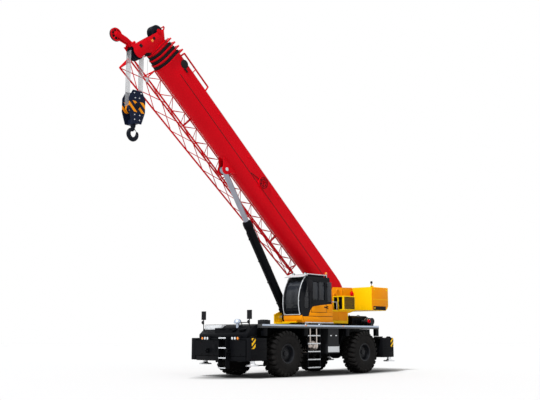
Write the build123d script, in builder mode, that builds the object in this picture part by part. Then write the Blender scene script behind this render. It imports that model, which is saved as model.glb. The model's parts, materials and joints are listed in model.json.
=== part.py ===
import os
from math import cos, radians, sin

from build123d import *

os.makedirs("parts", exist_ok=True)

# Driving dimensions, in millimetres. Lengths along X are counted from the slew axis.
slew_x = -2617.0
wheelbase = 4850.0
running_gap = 0.05
slide_gap = 0.3

# Wheels
tyre_d = 1750.0
tyre_w = 675.0
tread_depth = 62.0
tyre_sides = 36
lug_count = 18
lug_half = 60.0
lug_inner = 36.0
lug_skirt = 165.0
bead_half = 280.0
bulge_r = 590.0
shoulder_half = 300.0
bulge_in = 10.0
rim_r = 317.5
rim_wall = 24.0
rim_flange = 26.0
rim_sides = 36
disc_at = 70.0
disc_t = 26.0
hub_r = 205.0
hub_in = -150.0
hub_out = 150.0
cap_r = 120.0
cap_out = 215.0
hub_sides = 24
wheel_y = 1340.0
spindle_r = 80.0
spindle_out = 60.0

# Axles and knuckles
kingpin_y = 930.0
kingpin_r = 40.0
boss_r = 92.0
boss_half = 184.0
yoke_gap = 6.0
yoke_arm = 60.0
yoke_end_r = 75.0
yoke_web = 50.0
yoke_half = 95.0
axle_r = 130.0
diff_r = 290.0
diff_half = 200.0
diff_bevel = 80.0
pinion_r = 110.0
pinion_out = 330.0
pad_half_x = 170.0
pad_in = 300.0
pad_out = 460.0
steer_arm = 280.0
steer_arm_w = 70.0
steer_arm_t = 50.0
steer_arm_z = -60.0

# Carrier frame, deck and slew ring
frame_half = 500.0
frame_top = 1860.0
frame_low = 1250.0
belly_z = 780.0
belly_half = 1300.0
frame_end = 4300.0
frame_wall = 40.0
pedestal_r = 950.0
pedestal_bore = 760.0
pedestal_top = 1960.0
ring_r = 930.0
deck_top = 2000.0
deck_front = 3810.0
deck_rear = -3490.0
deck_half = 1615.0
deck_plate = 30.0
deck_rim = 40.0
deck_ribs = 6
deck_well_r = 1000.0

# Engine, hood, exhaust and drive shafts
bay_front = -2280.0
bay_rear = -3380.0
bay_half = 400.0
engine_gap = 40.0
engine_top = 2340.0
hood_half = 1120.0
hood_wall = 30.0
hood_top = 2430.0
hood_margin = 40.0
hood_corner = 90.0
hood_louvres = 9
hood_louvre_w = 60.0
muffler_r = 150.0
muffler_x = -3180.0
muffler_in = 1150.0
muffler_out = 1500.0
tailpipe_r = 60.0
tailpipe_neck_r = 45.0
tailpipe_bend = 130.0
shaft_r = 60.0
shaft_flange_r = 105.0
shaft_flange_t = 30.0

# Outriggers
beam_w = 360.0
beam_h = 480.0
beam_wall = 18.0
beam_pad = 17.5
box_wall = 30.0
box_half = 1420.0
box_inner_x = 3610.0
box_top = 1390.0
mouth = 60.0
beam_inner = 1150.0
jack_y = 1556.0
jack_r = 130.0
jack_bore_top = 1460.0
jack_top = 1490.0
jack_low = 640.0
jack_rod_r = 90.0
jack_rod_top = 1440.0
float_r = 250.0
float_z = 450.0
float_t = 55.0
guard_t = 12.0
guard_half = 1690.0

# Side equipment of the carrier
ladder_x = 835.0
ladder_half = 385.0
ladder_y = 1600.0
ladder_stile = 40.0
ladder_low = 300.0
tread_t = 34.0
tread_d = 170.0
tread_count = 5
tank_r = 290.0
tank_y = 1110.0
tank_z = 1190.0
tank_front = 950.0
tank_rear = 380.0
strap_w = 60.0
strap_t = 12.0
locker_front = -60.0
locker_rear = -710.0
locker_in = 1000.0
locker_out = 1590.0
locker_low = 1210.0
tray_low = 860.0
tray_gap = 60.0
skirt_t = 12.0
skirt_in = 640.0
skirt_out = 1415.0
skirt_x = 1290.0
skirt_lean = 300.0
skirt_low = 1120.0

# Front and rear lamps, mirrors and tow lugs
lamp_in = 620.0
lamp_out = 1080.0
lamp_h = 150.0
lamp_d = 60.0
mirror_x = 4180.0
mirror_y = 1300.0
mirror_pole_r = 18.0
mirror_top = 2520.0
mirror_w = 210.0
mirror_h = 340.0
mirror_t = 60.0
lug_t = 50.0
lug_eye_r = 35.0
lug_outer_r = 85.0
lug_reach = 120.0
lug_y = 610.0
lug_z = 1000.0
front_step_in = 140.0
front_step_out = 560.0
front_step_count = 4
front_step_low = 350.0
front_step_top = 1460.0
front_step_plate = 20.0
front_step_d = 200.0

# Turntable
turn_z = 2060.0
turn_plate = 50.0
cheek_in = 440.0
cheek_t = 46.0
cheek_front = 1010.0
turn_back = -3250.0
floor_half = 1000.0
cab_sill_z = 2130.0
house_front = -560.0
house_rear = -1850.0
house_out = 1200.0
house_top = 2640.0
tank_front_right = -1050.0
foot_x = -2450.0
foot_z = 3175.0
foot_pin_r = 110.0
foot_sleeve_r = 280.0
foot_boss_r = 260.0

# Counterweight, cooler and winches
weight_front = -3080.0
weight_rear = -4400.0
weight_half = 1555.0
weight_low = 2670.0
weight_top = 3700.0
weight_cut = 260.0
weight_corner = 120.0
cooler_front = -1200.0
cooler_rear = -1980.0
cooler_in = 900.0
cooler_out = 1500.0
cooler_top = 3240.0
cooler_wall = 40.0
cooler_slats = 7
cooler_slat_t = 24.0
drum_x = -3010.0
drum_upper_z = 3420.0
drum_lower_z = 2960.0
drum_r = 140.0
drum_flange_r = 190.0
drum_flange_t = 30.0
drum_flange_y = 330.0

# Cab
cab_front = 1540.0
cab_rear = -500.0
cab_in = 510.0
cab_out = 1460.0
cab_sill = 2450.0
cab_roof = 3950.0
cab_wall = 60.0
cab_nose_x = 1290.0
cab_brow_x = 1060.0
cab_bulge_x = 1500.0
cab_bulge_z = 3000.0
cab_back_x = -330.0
cab_frame = 90.0
glass_t = 10.0
door_rear = -120.0
door_front = 840.0
door_low = 2500.0
door_high = 3840.0
door_gap = 5.0
door_rail = 80.0
door_waist = 3000.0
seat_x = 180.0
seat_y = 985.0
seat_half = 260.0
seat_z = 2900.0
seat_t = 130.0
seat_depth = 520.0
back_h = 700.0
back_t = 120.0
seat_post_r = 150.0
roof_bar = 30.0
roof_bar_rise = 90.0
roof_bars = 6
beacon_x = -260.0
beacon_y = 1330.0
beacon_r = 55.0
beacon_h = 110.0

# Lift cylinder
lift_x = 650.0
lift_z = 2320.0
lug_s = 8350.0
lug_n = -780.0
lift_pin_r = 90.0
barrel_r = 175.0
barrel_wall = 45.0
barrel_len = 4500.0
barrel_root = 250.0
gland_len = 250.0
lift_eye_r = 190.0
lift_eye_half = 180.0
rod_r = 110.0
piston_len = 110.0
rod_root = 2000.0
rod_eye_r = 160.0
rod_eye_half = 100.0
ear_gap = 12.0
ear_t = 50.0
ear_r = 200.0
ear_run = 620.0

# Boom
luff = 41.0
boom_half = 400.0
boom_top = 525.0
boom_round_n = -125.0
boom_corner = 60.0
boom_wall = 11.0
section_count = 5
section_step = 30.0
section_tail = 900.0
tail_step = 220.0
base_len = 13080.0
collar_step = 200.0
collar_t = 45.0
collar_side = 45.0
collar_up = 230.0
head_gap = 20.0
tail_r = 340.0
tail_full = 760.0
reel_s = 6800.0
reel_n = 110.0
reel_r = 240.0
reel_t = 90.0
reel_hub_r = 70.0

# Boom head and hook
head_plate_t = 30.0
head_half = 210.0
head_end = 14400.0
head_rise_s = 14040.0
head_rise_n = 630.0
head_brow_s = 14370.0
head_waist_s = 14360.0
head_waist_n = -660.0
head_toe_n = -1020.0
head_sole_n = -1060.0
head_heel_s = 13900.0
head_heel_n = -680.0
head_throat_n = -480.0
cross_beam_t = 80.0
cross_beam_out = 120.0
upper_s = 14160.0
upper_n = 420.0
lower_s = 14120.0
lower_n = -920.0
sheave_r = 270.0
sheave_t = 46.0
sheave_pitch = 62.0
sheave_groove = 26.0
sheave_shaft_r = 60.0
sheave_count = 5
nose_s = 15080.0
nose_n = -1140.0
nose_half = 70.0
nose_plate_t = 22.0
nose_sheave_r = 250.0
block_drop = 2050.0
block_half = 190.0
block_plate_t = 36.0
block_down = 650.0
block_w = 700.0
rope_r = 12.0
rope_sides = 8
block_up = 570.0
block_neck = 200.0
swivel_r = 100.0
swivel_len = 180.0
hook_r = 250.0
hook_t = 130.0
hook_throat_r = 130.0
hook_shank_r = 65.0

hinge_pin_r = 12.0
hinge_sleeve_r = 22.0
hinge_off = 24.0
hinge_half = 28.0
hinge_leaf = 30.0
hinge_strap = 160.0
hinge_zs = (2720.0, 3620.0)
screen_low = 2560.0
screen_high = 3790.0
quarter_front = 1260.0
quarter_top_front = 1130.0
quarter_rear = 930.0
rear_window_low = 3000.0
roof_window = (0.0, 820.0)

# Lattice jib, stowed on the right of the boom
jib_root_s = 13870.0
jib_tip_s = 2350.0
jib_bays = 11
jib_chord_r = 36.0
jib_lace_r = 17.0
jib_sides = 6
jib_root_low = (-1100.0, -1050.0)
jib_root_high = (-600.0, -690.0)
jib_root_out = (-1120.0, -420.0)
jib_tip_low = (-830.0, -700.0)
jib_tip_high = (-600.0, -560.0)
jib_tip_out = (-840.0, -440.0)
jib_bracket_s = (4200.0, 10600.0)
jib_bracket_t = 60.0

# Worked-out places
tyre_r = tyre_d / 2
half_pitch = radians(180 / lug_count)
axle_z = tyre_r
axle_x = wheelbase / 2
bead_r = (rim_r + rim_flange) / cos(radians(180 / rim_sides))
cell_w = beam_w + 2 * beam_pad
cell_h = beam_h + 2 * beam_pad
box_len = 2 * cell_w + 3 * box_wall
box_low = box_top - cell_h - 2 * box_wall
beam_z = (box_low + box_top) / 2
deck_low = frame_top
cheek_out = cheek_in + cheek_t
luff_cos = cos(radians(luff))
luff_sin = sin(radians(luff))
corners = (("fl", 1, 1), ("fr", 1, -1), ("rl", -1, 1), ("rr", -1, -1))


# Planes: level, from the side, from the front, and the same two on the boom
def level(z):
    return Plane(origin=(slew_x, 0, z))


def side(y):
    return Plane(origin=(slew_x, y, 0), x_dir=(1, 0, 0), z_dir=(0, -1, 0))


def front(x):
    return Plane(origin=(slew_x + x, 0, 0), x_dir=(0, 1, 0), z_dir=(1, 0, 0))


def boom_point(s, n, y=0.0):
    x = slew_x + foot_x + s * luff_cos - n * luff_sin
    return (x, y, foot_z + s * luff_sin + n * luff_cos)


def boom_side(y):
    return Plane(origin=boom_point(0, 0, y), x_dir=(luff_cos, 0, luff_sin), z_dir=(0, -1, 0))


def boom_cut(s):
    return Plane(origin=boom_point(s, 0), x_dir=(0, 1, 0), z_dir=(luff_cos, 0, luff_sin))


def wheel_plane(sx, sy):
    return Plane(origin=(slew_x + sx * axle_x, sy * wheel_y, axle_z), x_dir=(1, 0, 0), z_dir=(0, sy, 0))


# Shapes used again and again, added to the part that is open
def prism(plane, points, depth, both=False, mode=Mode.ADD):
    with BuildSketch(plane) as profile:
        with BuildLine():
            Polyline(*points, close=True)
        make_face()
    extrude(profile.sketch, amount=depth, both=both, mode=mode)


def block(x, y, z, mode=Mode.ADD):
    with BuildSketch(level(z[0])) as profile:
        with Locations(((x[0] + x[1]) / 2, (y[0] + y[1]) / 2)):
            Rectangle(x[1] - x[0], y[1] - y[0])
    extrude(profile.sketch, amount=z[1] - z[0], mode=mode)


def disc(plane, at, radius, depth, both=False, mode=Mode.ADD):
    with BuildSketch(plane) as profile:
        with Locations(at):
            Circle(radius)
    extrude(profile.sketch, amount=depth, both=both, mode=mode)


def drum(plane, radius, depth, sides, bore=0.0, mode=Mode.ADD):
    with BuildSketch(plane) as profile:
        RegularPolygon(radius, sides, major_radius=False)
        if bore:
            RegularPolygon(bore, sides, major_radius=False, mode=Mode.SUBTRACT)
    extrude(profile.sketch, amount=depth, mode=mode)


def bar(start, end, radius, sides):
    run = Vector(*end) - Vector(*start)
    with BuildSketch(Plane(origin=start, z_dir=run)) as profile:
        RegularPolygon(radius, sides)
    extrude(profile.sketch, amount=run.length)


def tube(start, end, radius, mode=Mode.ADD):
    run = Vector(*end) - Vector(*start)
    with BuildSketch(Plane(origin=start, z_dir=run)) as profile:
        Circle(radius)
    extrude(profile.sketch, amount=run.length, mode=mode)


def save(piece, name):
    piece.label = name
    export_step(piece, f"parts/{name}.step")


# Carrier frame: a closed box that deepens between the axles, with the slew pedestal on top
with BuildPart() as carrier_frame:
    frame_outline = [
        (-frame_end, frame_top),
        (-frame_end, box_top),
        (-box_inner_x, box_top),
        (-box_inner_x, frame_low),
        (-belly_half, frame_low),
        (-belly_half, belly_z),
        (belly_half, belly_z),
        (belly_half, frame_low),
        (box_inner_x, frame_low),
        (box_inner_x, box_top),
        (frame_end, box_top),
        (frame_end, frame_top),
    ]
    prism(side(0), frame_outline, frame_half, both=True)
    with BuildSketch(side(0)) as frame_hollow:
        with BuildLine():
            Polyline(*frame_outline, close=True)
        make_face()
        offset(amount=-frame_wall, kind=Kind.INTERSECTION, mode=Mode.REPLACE)
    extrude(frame_hollow.sketch, amount=frame_half - frame_wall, both=True, mode=Mode.SUBTRACT)
    block((bay_rear, bay_front), (-bay_half, bay_half), (frame_top - 2 * frame_wall, frame_top), Mode.SUBTRACT)
    disc(level(frame_top), (0, 0), pedestal_r, pedestal_top - frame_top)
    disc(level(pedestal_top), (0, 0), ring_r, turn_z - slide_gap - pedestal_top)
    disc(level(frame_top - frame_wall), (0, 0), pedestal_bore, pedestal_top, mode=Mode.SUBTRACT)
save(carrier_frame.part, "carrier_frame")

# Deck: a plate on a rim and cross ribs, with a well for the pedestal and one for the engine
with BuildPart() as deck:
    block((deck_rear, deck_front), (-deck_half, deck_half), (deck_low, deck_top))
    bay_len = (deck_front - deck_rear - deck_rim) / deck_ribs
    for bay in range(deck_ribs):
        bay_start = deck_rear + deck_rim + bay * bay_len
        for sy in (-1, 1):
            bay_y = sorted((sy * frame_half, sy * (deck_half - deck_rim)))
            block((bay_start, bay_start + bay_len - deck_rim), bay_y, (deck_low, deck_top - deck_plate), Mode.SUBTRACT)
    disc(level(deck_low), (0, 0), deck_well_r, deck_top - deck_low, mode=Mode.SUBTRACT)
    block((bay_rear, bay_front), (-bay_half, bay_half), (deck_low, deck_top), Mode.SUBTRACT)
save(deck.part, "deck")

# Engine block in its bay, under a bevelled hood
with BuildPart() as engine:
    engine_x = (bay_rear + engine_gap, bay_front - engine_gap)
    block(engine_x, (-bay_half + engine_gap, bay_half - engine_gap), (frame_low + frame_wall, engine_top))
save(engine.part, "engine")

with BuildPart() as engine_hood:
    hood_x = (bay_rear - hood_margin, bay_front + hood_margin)
    block(hood_x, (-hood_half, hood_half), (deck_top, hood_top))
    chamfer(engine_hood.faces().sort_by(Axis.Z)[-1].edges(), hood_corner)
    block(
        (hood_x[0] + hood_wall, hood_x[1] - hood_wall),
        (-hood_half + hood_corner, hood_half - hood_corner),
        (deck_top, hood_top - hood_wall),
        Mode.SUBTRACT,
    )
    louvre_pitch = (hood_x[1] - hood_x[0]) / (hood_louvres + 1)
    louvre_z = (deck_top + hood_corner, hood_top - 2 * hood_corner)
    for louvre in range(1, hood_louvres + 1):
        louvre_x = hood_x[0] + louvre * louvre_pitch
        for sy in (-1, 1):
            louvre_y = sorted((sy * (hood_half - hood_wall), sy * hood_half))
            louvre_span = (louvre_x - hood_louvre_w / 2, louvre_x + hood_louvre_w / 2)
            block(louvre_span, louvre_y, louvre_z, Mode.SUBTRACT)
save(engine_hood.part, "engine_hood")

with BuildPart() as exhaust:
    muffler_z = deck_top + muffler_r + hood_margin
    disc(side(muffler_out), (muffler_x, muffler_z), muffler_r, muffler_out - muffler_in)
    for saddle in (muffler_in + strap_w, muffler_out - 2 * strap_w):
        saddle_x = (muffler_x - muffler_r, muffler_x + muffler_r)
        block(saddle_x, (saddle, saddle + strap_w), (deck_top, muffler_z))
    pipe_x = muffler_x + muffler_r + tailpipe_bend
    pipe_y = muffler_in + tailpipe_bend
    tube((slew_x + muffler_x, pipe_y, muffler_z), (slew_x + pipe_x, pipe_y, muffler_z), tailpipe_neck_r)
    tube((slew_x + pipe_x, muffler_in, muffler_z), (slew_x + pipe_x, muffler_out, muffler_z), tailpipe_r)
save(exhaust.part, "exhaust")

# Axles: tube, final drive with its drive shaft, frame pads and a steering yoke at each end
for axle_name, sx in (("front_axle", 1), ("rear_axle", -1)):
    with BuildPart() as axle:
        centre = sx * axle_x
        yoke_in = kingpin_y - boss_r - yoke_gap - yoke_web
        disc(front(centre), (0, axle_z), diff_r, diff_half, both=True)
        chamfer(axle.edges().filter_by(GeomType.CIRCLE), diff_bevel)
        disc(side(0), (centre, axle_z), axle_r, yoke_in + yoke_web / 2, both=True)
        tube((slew_x + centre, 0, axle_z), (slew_x + centre - sx * pinion_out, 0, axle_z), pinion_r)
        belly_face = slew_x + sx * belly_half
        tube((slew_x + centre, 0, axle_z), (belly_face, 0, axle_z), shaft_r)
        tube((belly_face, 0, axle_z), (belly_face + sx * shaft_flange_t, 0, axle_z), shaft_flange_r)
        for sy in (-1, 1):
            pad_y = sorted((sy * pad_in, sy * pad_out))
            block((centre - pad_half_x, centre + pad_half_x), pad_y, (axle_z, frame_low))
            web_y = sorted((sy * yoke_in, sy * (yoke_in + yoke_web)))
            yoke_z = boss_half + yoke_gap
            block((centre - yoke_half, centre + yoke_half), web_y, (axle_z - yoke_z, axle_z + yoke_z))
            for arm_z in (axle_z - yoke_z - yoke_arm, axle_z + yoke_z):
                with BuildSketch(level(arm_z)) as arm:
                    with Locations((centre, sy * (yoke_in + kingpin_y) / 2)):
                        Rectangle(2 * yoke_end_r, kingpin_y - yoke_in)
                    with Locations((centre, sy * kingpin_y)):
                        Circle(yoke_end_r)
                        Circle(kingpin_r + running_gap, mode=Mode.SUBTRACT)
                extrude(arm.sketch, amount=yoke_arm)
    save(axle.part, axle_name)

# Steering knuckle, rim with hub, and block-lugged tyre at each corner
for corner, sx, sy in corners:
    hub = wheel_plane(sx, sy)
    with BuildPart() as knuckle:
        pin_at = (sx * axle_x, sy * kingpin_y)
        disc(level(axle_z), pin_at, boss_r, boss_half, both=True)
        disc(level(axle_z), pin_at, kingpin_r, boss_half + yoke_gap + yoke_arm, both=True)
        drum(hub.offset(kingpin_y - wheel_y), boss_r, wheel_y - kingpin_y + hub_in - yoke_gap, hub_sides)
        disc(hub.offset(hub_in - 2 * yoke_gap), (0, 0), spindle_r, spindle_out - hub_in)
        arm_end = sx * axle_x - sx * steer_arm
        arm_x = sorted((sx * axle_x, arm_end))
        arm_y = (sy * kingpin_y - steer_arm_w / 2, sy * kingpin_y + steer_arm_w / 2)
        block(arm_x, arm_y, (axle_z + steer_arm_z, axle_z + steer_arm_z + steer_arm_t))
    save(knuckle.part, f"knuckle_{corner}")

    with BuildPart() as rim:
        rim_half = bead_half + rim_flange / 2
        drum(hub.offset(-rim_half), rim_r, 2 * rim_half, rim_sides, bore=rim_r - rim_wall)
        for flange_at in (-rim_half, bead_half):
            drum(hub.offset(flange_at), rim_r + rim_flange, rim_flange / 2, rim_sides, bore=rim_r - rim_wall)
        drum(hub.offset(disc_at), rim_r - rim_wall / 2, disc_t, rim_sides)
        drum(hub.offset(hub_in), hub_r, hub_out - hub_in, hub_sides)
        drum(hub.offset(hub_out), cap_r, cap_out - hub_out, hub_sides)
        disc(hub.offset(hub_in), (0, 0), spindle_r + running_gap, spindle_out + yoke_gap - hub_in, mode=Mode.SUBTRACT)
    save(rim.part, f"rim_{corner}")

    with BuildPart() as tyre:
        tread_r = tyre_r - tread_depth
        half_w = tyre_w / 2 - bulge_in
        stations = (
            (-bead_half, bead_r),
            (-half_w, bulge_r),
            (-shoulder_half, tread_r),
            (shoulder_half, tread_r),
            (half_w, bulge_r),
            (bead_half, bead_r),
        )
        for station, radius in stations:
            with BuildSketch(hub.offset(station)):
                RegularPolygon(radius, tyre_sides, major_radius=False, rotation=180 / tyre_sides)
        loft(ruled=True)
        for lug in range(lug_count):
            for row in (-1, 1):
                turn = 2 * half_pitch * lug + (half_pitch if row < 0 else 0)
                outward = Vector(sin(turn), 0, -cos(turn))
                across = Vector(0, sy * row, 0)
                with BuildSketch(Plane(origin=hub.origin, x_dir=across, z_dir=across.cross(outward))):
                    with BuildLine():
                        Polyline(
                            (lug_inner, tread_r - tread_depth),
                            (lug_inner, tyre_r),
                            (shoulder_half - bulge_in, tyre_r),
                            (tyre_w / 2, tyre_r - tread_depth),
                            (tyre_w / 2, tyre_r - lug_skirt),
                            (shoulder_half, tyre_r - lug_skirt),
                            close=True,
                        )
                    make_face()
        extrude(amount=lug_half, both=True)
        drum(hub.offset(-bead_half), rim_r, 2 * bead_half, rim_sides, mode=Mode.SUBTRACT)
    save(tyre.part, f"tyre_{corner}")

# Outrigger boxes with two cells side by side, their beams, and a jack at each beam's end
for box_name, sx in (("front_outrigger_box", 1), ("rear_outrigger_box", -1)):
    with BuildPart() as outrigger_box:
        box_x = sorted((sx * box_inner_x, sx * (box_inner_x + box_len)))
        block(box_x, (-box_half, box_half), (box_low, box_top))
        for sy in (-1, 1):
            cell_x = sx * (box_inner_x + box_wall + cell_w / 2 + (cell_w + box_wall if sy > 0 else 0))
            cell_y = sorted((-sy * (box_half - box_wall), sy * (box_half - mouth)))
            cell = (cell_x - cell_w / 2, cell_x + cell_w / 2)
            block(cell, cell_y, (box_low + box_wall, box_top - box_wall), Mode.SUBTRACT)
            throat = (cell_x - beam_w / 2 - slide_gap, cell_x + beam_w / 2 + slide_gap)
            throat_y = sorted((0, sy * box_half))
            throat_z = (beam_z - beam_h / 2 - slide_gap, beam_z + beam_h / 2 + slide_gap)
            block(throat, throat_y, throat_z, Mode.SUBTRACT)
    save(outrigger_box.part, box_name)

for corner, sx, sy in corners:
    cell_x = sx * (box_inner_x + box_wall + cell_w / 2 + (cell_w + box_wall if sy > 0 else 0))
    beam_x = (cell_x - beam_w / 2, cell_x + beam_w / 2)
    beam_end = jack_y - jack_r
    with BuildPart() as beam:
        block(beam_x, sorted((-sy * beam_inner, sy * beam_end)), (beam_z - beam_h / 2, beam_z + beam_h / 2))
        hollow_x = (beam_x[0] + beam_wall, beam_x[1] - beam_wall)
        hollow_y = sorted((-sy * beam_inner, sy * (beam_end - beam_wall)))
        block(hollow_x, hollow_y, (beam_z - beam_h / 2 + beam_wall, beam_z + beam_h / 2 - beam_wall), Mode.SUBTRACT)
        gusset_y = sorted((sy * beam_end, sy * jack_y))
        gusset_x = (cell_x - jack_r, cell_x + jack_r)
        block(gusset_x, gusset_y, (beam_z - beam_h / 2, beam_z + beam_h / 2))
        disc(level(jack_low), (cell_x, sy * jack_y), jack_r, jack_top - jack_low)
        guard_y = sorted((sy * (guard_half - guard_t), sy * guard_half))
        block(beam_x, guard_y, (beam_z - beam_h / 2, beam_z + beam_h / 2))
        stay_y = sorted((sy * jack_y, sy * (guard_half - guard_t)))
        block((cell_x - guard_t, cell_x + guard_t), stay_y, (beam_z - beam_h / 2, beam_z + beam_h / 2))
        jack_bore = jack_bore_top - jack_low
        disc(level(jack_low), (cell_x, sy * jack_y), jack_rod_r + running_gap, jack_bore, mode=Mode.SUBTRACT)
    save(beam.part, f"outrigger_beam_{corner}")

    with BuildPart() as jack:
        disc(level(float_z), (cell_x, sy * jack_y), float_r, float_t)
        chamfer(jack.faces().sort_by(Axis.Z)[-1].edges(), float_t / 2)
        disc(level(float_z), (cell_x, sy * jack_y), jack_rod_r, jack_rod_top - float_z)
    save(jack.part, f"jack_{corner}")

# Boarding ladders, tanks, lockers and slanted wheel skirts along both sides
with BuildPart() as ladders:
    tread_pitch = (deck_low - ladder_low) / tread_count
    for sy in (-1, 1):
        stile_y = sorted((sy * (ladder_y - ladder_stile), sy * ladder_y))
        for stile_x in (ladder_x - ladder_half, ladder_x + ladder_half - ladder_stile):
            block((stile_x, stile_x + ladder_stile), stile_y, (ladder_low, deck_low))
        tread_y = sorted((sy * (ladder_y - tread_d), sy * ladder_y))
        for tread in range(tread_count):
            tread_z = ladder_low + tread * tread_pitch
            block((ladder_x - ladder_half, ladder_x + ladder_half), tread_y, (tread_z, tread_z + tread_t))
    step_x = (box_inner_x + box_len, box_inner_x + box_len + front_step_d)
    step_pitch = (front_step_top - front_step_low) / (front_step_count - 1)
    for plate_y in (front_step_in, front_step_out - front_step_plate):
        plate_z = (front_step_low, front_step_top + tread_t)
        block(step_x, (plate_y, plate_y + front_step_plate), plate_z)
    for step in range(front_step_count):
        step_z = front_step_low + step * step_pitch
        block(step_x, (front_step_in, front_step_out), (step_z, step_z + tread_t))
save(ladders.part, "ladders")

with BuildPart() as fuel_tank:
    for sy in (-1, 1):
        tube((slew_x + tank_rear, sy * tank_y, tank_z), (slew_x + tank_front, sy * tank_y, tank_z), tank_r)
        for strap_x in (tank_rear + strap_w, tank_front - 2 * strap_w):
            strap_y = (sy * tank_y - tank_r - strap_t, sy * tank_y + tank_r + strap_t)
            block((strap_x, strap_x + strap_w), strap_y, (tank_z, deck_low))
            tube(
                (slew_x + strap_x, sy * tank_y, tank_z),
                (slew_x + strap_x + strap_w, sy * tank_y, tank_z),
                tank_r + strap_t,
            )
save(fuel_tank.part, "fuel_tank")

with BuildPart() as lockers:
    for sy in (-1, 1):
        locker_y = sorted((sy * locker_in, sy * locker_out))
        block((locker_rear, locker_front), locker_y, (locker_low, deck_low))
        block((locker_rear - tray_gap, locker_front + tray_gap), locker_y, (tray_low, locker_low))
save(lockers.part, "lockers")

with BuildPart() as skirts:
    for sy in (-1, 1):
        for sx in (-1, 1):
            skirt_points = [
                (sx * (skirt_x - skirt_t), deck_top - deck_plate),
                (sx * skirt_x, deck_top - deck_plate),
                (sx * skirt_x, deck_low),
                (sx * (skirt_x - skirt_lean), skirt_low),
                (sx * (skirt_x - skirt_lean - skirt_t), skirt_low),
                (sx * (skirt_x - skirt_t), deck_low),
            ]
            skirt_y = sy * (skirt_in + skirt_out) / 2
            prism(side(skirt_y), skirt_points, (skirt_out - skirt_in) / 2, both=True)
save(skirts.part, "skirts")

# Lamps front and rear, mirrors on poles, tow lugs and front steps
with BuildPart() as lamps:
    for sx in (-1, 1):
        for sy in (-1, 1):
            lamp_face = sx * (box_inner_x + box_len)
            lamp_x = sorted((lamp_face - sx * lamp_d, lamp_face))
            block(lamp_x, sorted((sy * lamp_in, sy * lamp_out)), (box_top, box_top + lamp_h))
save(lamps.part, "lamps")

with BuildPart() as mirrors:
    for sy in (-1, 1):
        pole = (slew_x + mirror_x, sy * mirror_y)
        tube((*pole, box_top), (*pole, mirror_top), mirror_pole_r)
        head_y = (sy * mirror_y - mirror_w / 2, sy * mirror_y + mirror_w / 2)
        block((mirror_x - mirror_t / 2, mirror_x + mirror_t / 2), head_y, (mirror_top - mirror_h, mirror_top))
save(mirrors.part, "mirrors")

with BuildPart() as tow_lugs:
    for sx in (-1, 1):
        face_x = sx * (box_inner_x + box_len)
        for sy in (-1, 1):
            with BuildSketch(side(sy * lug_y)) as lug_profile:
                with Locations((face_x + sx * lug_reach, lug_z)):
                    Circle(lug_outer_r)
                with Locations((face_x + sx * lug_reach / 2, lug_z)):
                    Rectangle(lug_reach, 2 * lug_outer_r)
                with Locations((face_x + sx * lug_reach, lug_z)):
                    Circle(lug_eye_r, mode=Mode.SUBTRACT)
            extrude(lug_profile.sketch, amount=lug_t / 2, both=True)
save(tow_lugs.part, "tow_lugs")

# Turntable: base disc, two boom cheeks, cab floor and side housings
with BuildPart() as turntable:
    disc(level(turn_z), (0, 0), floor_half, turn_plate)
    cheek_low = turn_z
    cheek_points = [
        (cheek_front, cheek_low),
        (cheek_front, lift_z + foot_boss_r / 2),
        (lift_x, lift_z + foot_boss_r),
        (house_front, house_top),
        (house_rear, foot_z + foot_boss_r / 2),
        (foot_x + foot_boss_r / 2, foot_z + foot_boss_r),
        (turn_back, drum_upper_z + drum_flange_r),
        (turn_back, weight_low),
        (foot_x, hood_top + deck_rim),
        (house_rear, hood_top + deck_rim),
        (house_rear, cheek_low),
    ]
    for sy in (-1, 1):
        cheek_mid = sy * (cheek_in + cheek_t / 2)
        prism(side(cheek_mid), cheek_points, cheek_t / 2, both=True)
        house_y = sorted((sy * cheek_out, sy * house_out))
        house_x = (house_rear, house_front if sy > 0 else tank_front_right)
        block(house_x, house_y, (cab_sill_z, house_top))
    block((house_rear, cheek_front), (-cheek_out, cheek_out), (turn_z, turn_z + turn_plate))
    block((house_rear, cab_front - cab_wall), (cheek_in, house_out), (turn_z + turn_plate / 2, cab_sill_z))
    block((house_rear, tank_front_right), (-house_out, -cheek_in), (turn_z + turn_plate / 2, cab_sill_z))
    disc(side(0), (foot_x, foot_z), foot_pin_r + running_gap, cheek_out, both=True, mode=Mode.SUBTRACT)
    disc(side(0), (lift_x, lift_z), lift_pin_r + running_gap, cheek_out, both=True, mode=Mode.SUBTRACT)
save(turntable.part, "turntable")

with BuildPart() as counterweight:
    weight_points = [
        (weight_front, weight_low),
        (weight_front, weight_top),
        (weight_rear, weight_top),
        (weight_rear, weight_low + weight_cut),
        (weight_rear + weight_cut, weight_low),
    ]
    prism(side(0), weight_points, weight_half, both=True)
    upright = counterweight.edges().filter_by(Axis.Z).group_by(Axis.X)[0]
    fillet(upright, weight_corner)
    block((turn_back, weight_front), (-cheek_out, cheek_out), (weight_low, weight_top), Mode.SUBTRACT)
save(counterweight.part, "counterweight")

with BuildPart() as cooler:
    block((cooler_rear, cooler_front), (cooler_in, cooler_out), (house_top, cooler_top))
    grille_x = (cooler_rear + cooler_wall, cooler_front - cooler_wall)
    grille_y = (cooler_out - cooler_wall, cooler_out)
    grille_z = (house_top + cooler_wall, cooler_top - cooler_wall)
    block(grille_x, grille_y, grille_z, Mode.SUBTRACT)
    slat_pitch = (grille_z[1] - grille_z[0]) / (cooler_slats + 1)
    for slat in range(1, cooler_slats + 1):
        slat_z = grille_z[0] + slat * slat_pitch
        block(grille_x, grille_y, (slat_z - cooler_slat_t / 2, slat_z + cooler_slat_t / 2))
    port_mid = (cooler_in + cooler_out) / 2
    for port_y in ((cooler_in + cooler_wall, port_mid - cooler_wall), (port_mid, cooler_out - 2 * cooler_wall)):
        block((cooler_front - cooler_wall, cooler_front), port_y, grille_z, Mode.SUBTRACT)
save(cooler.part, "cooler")

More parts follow.
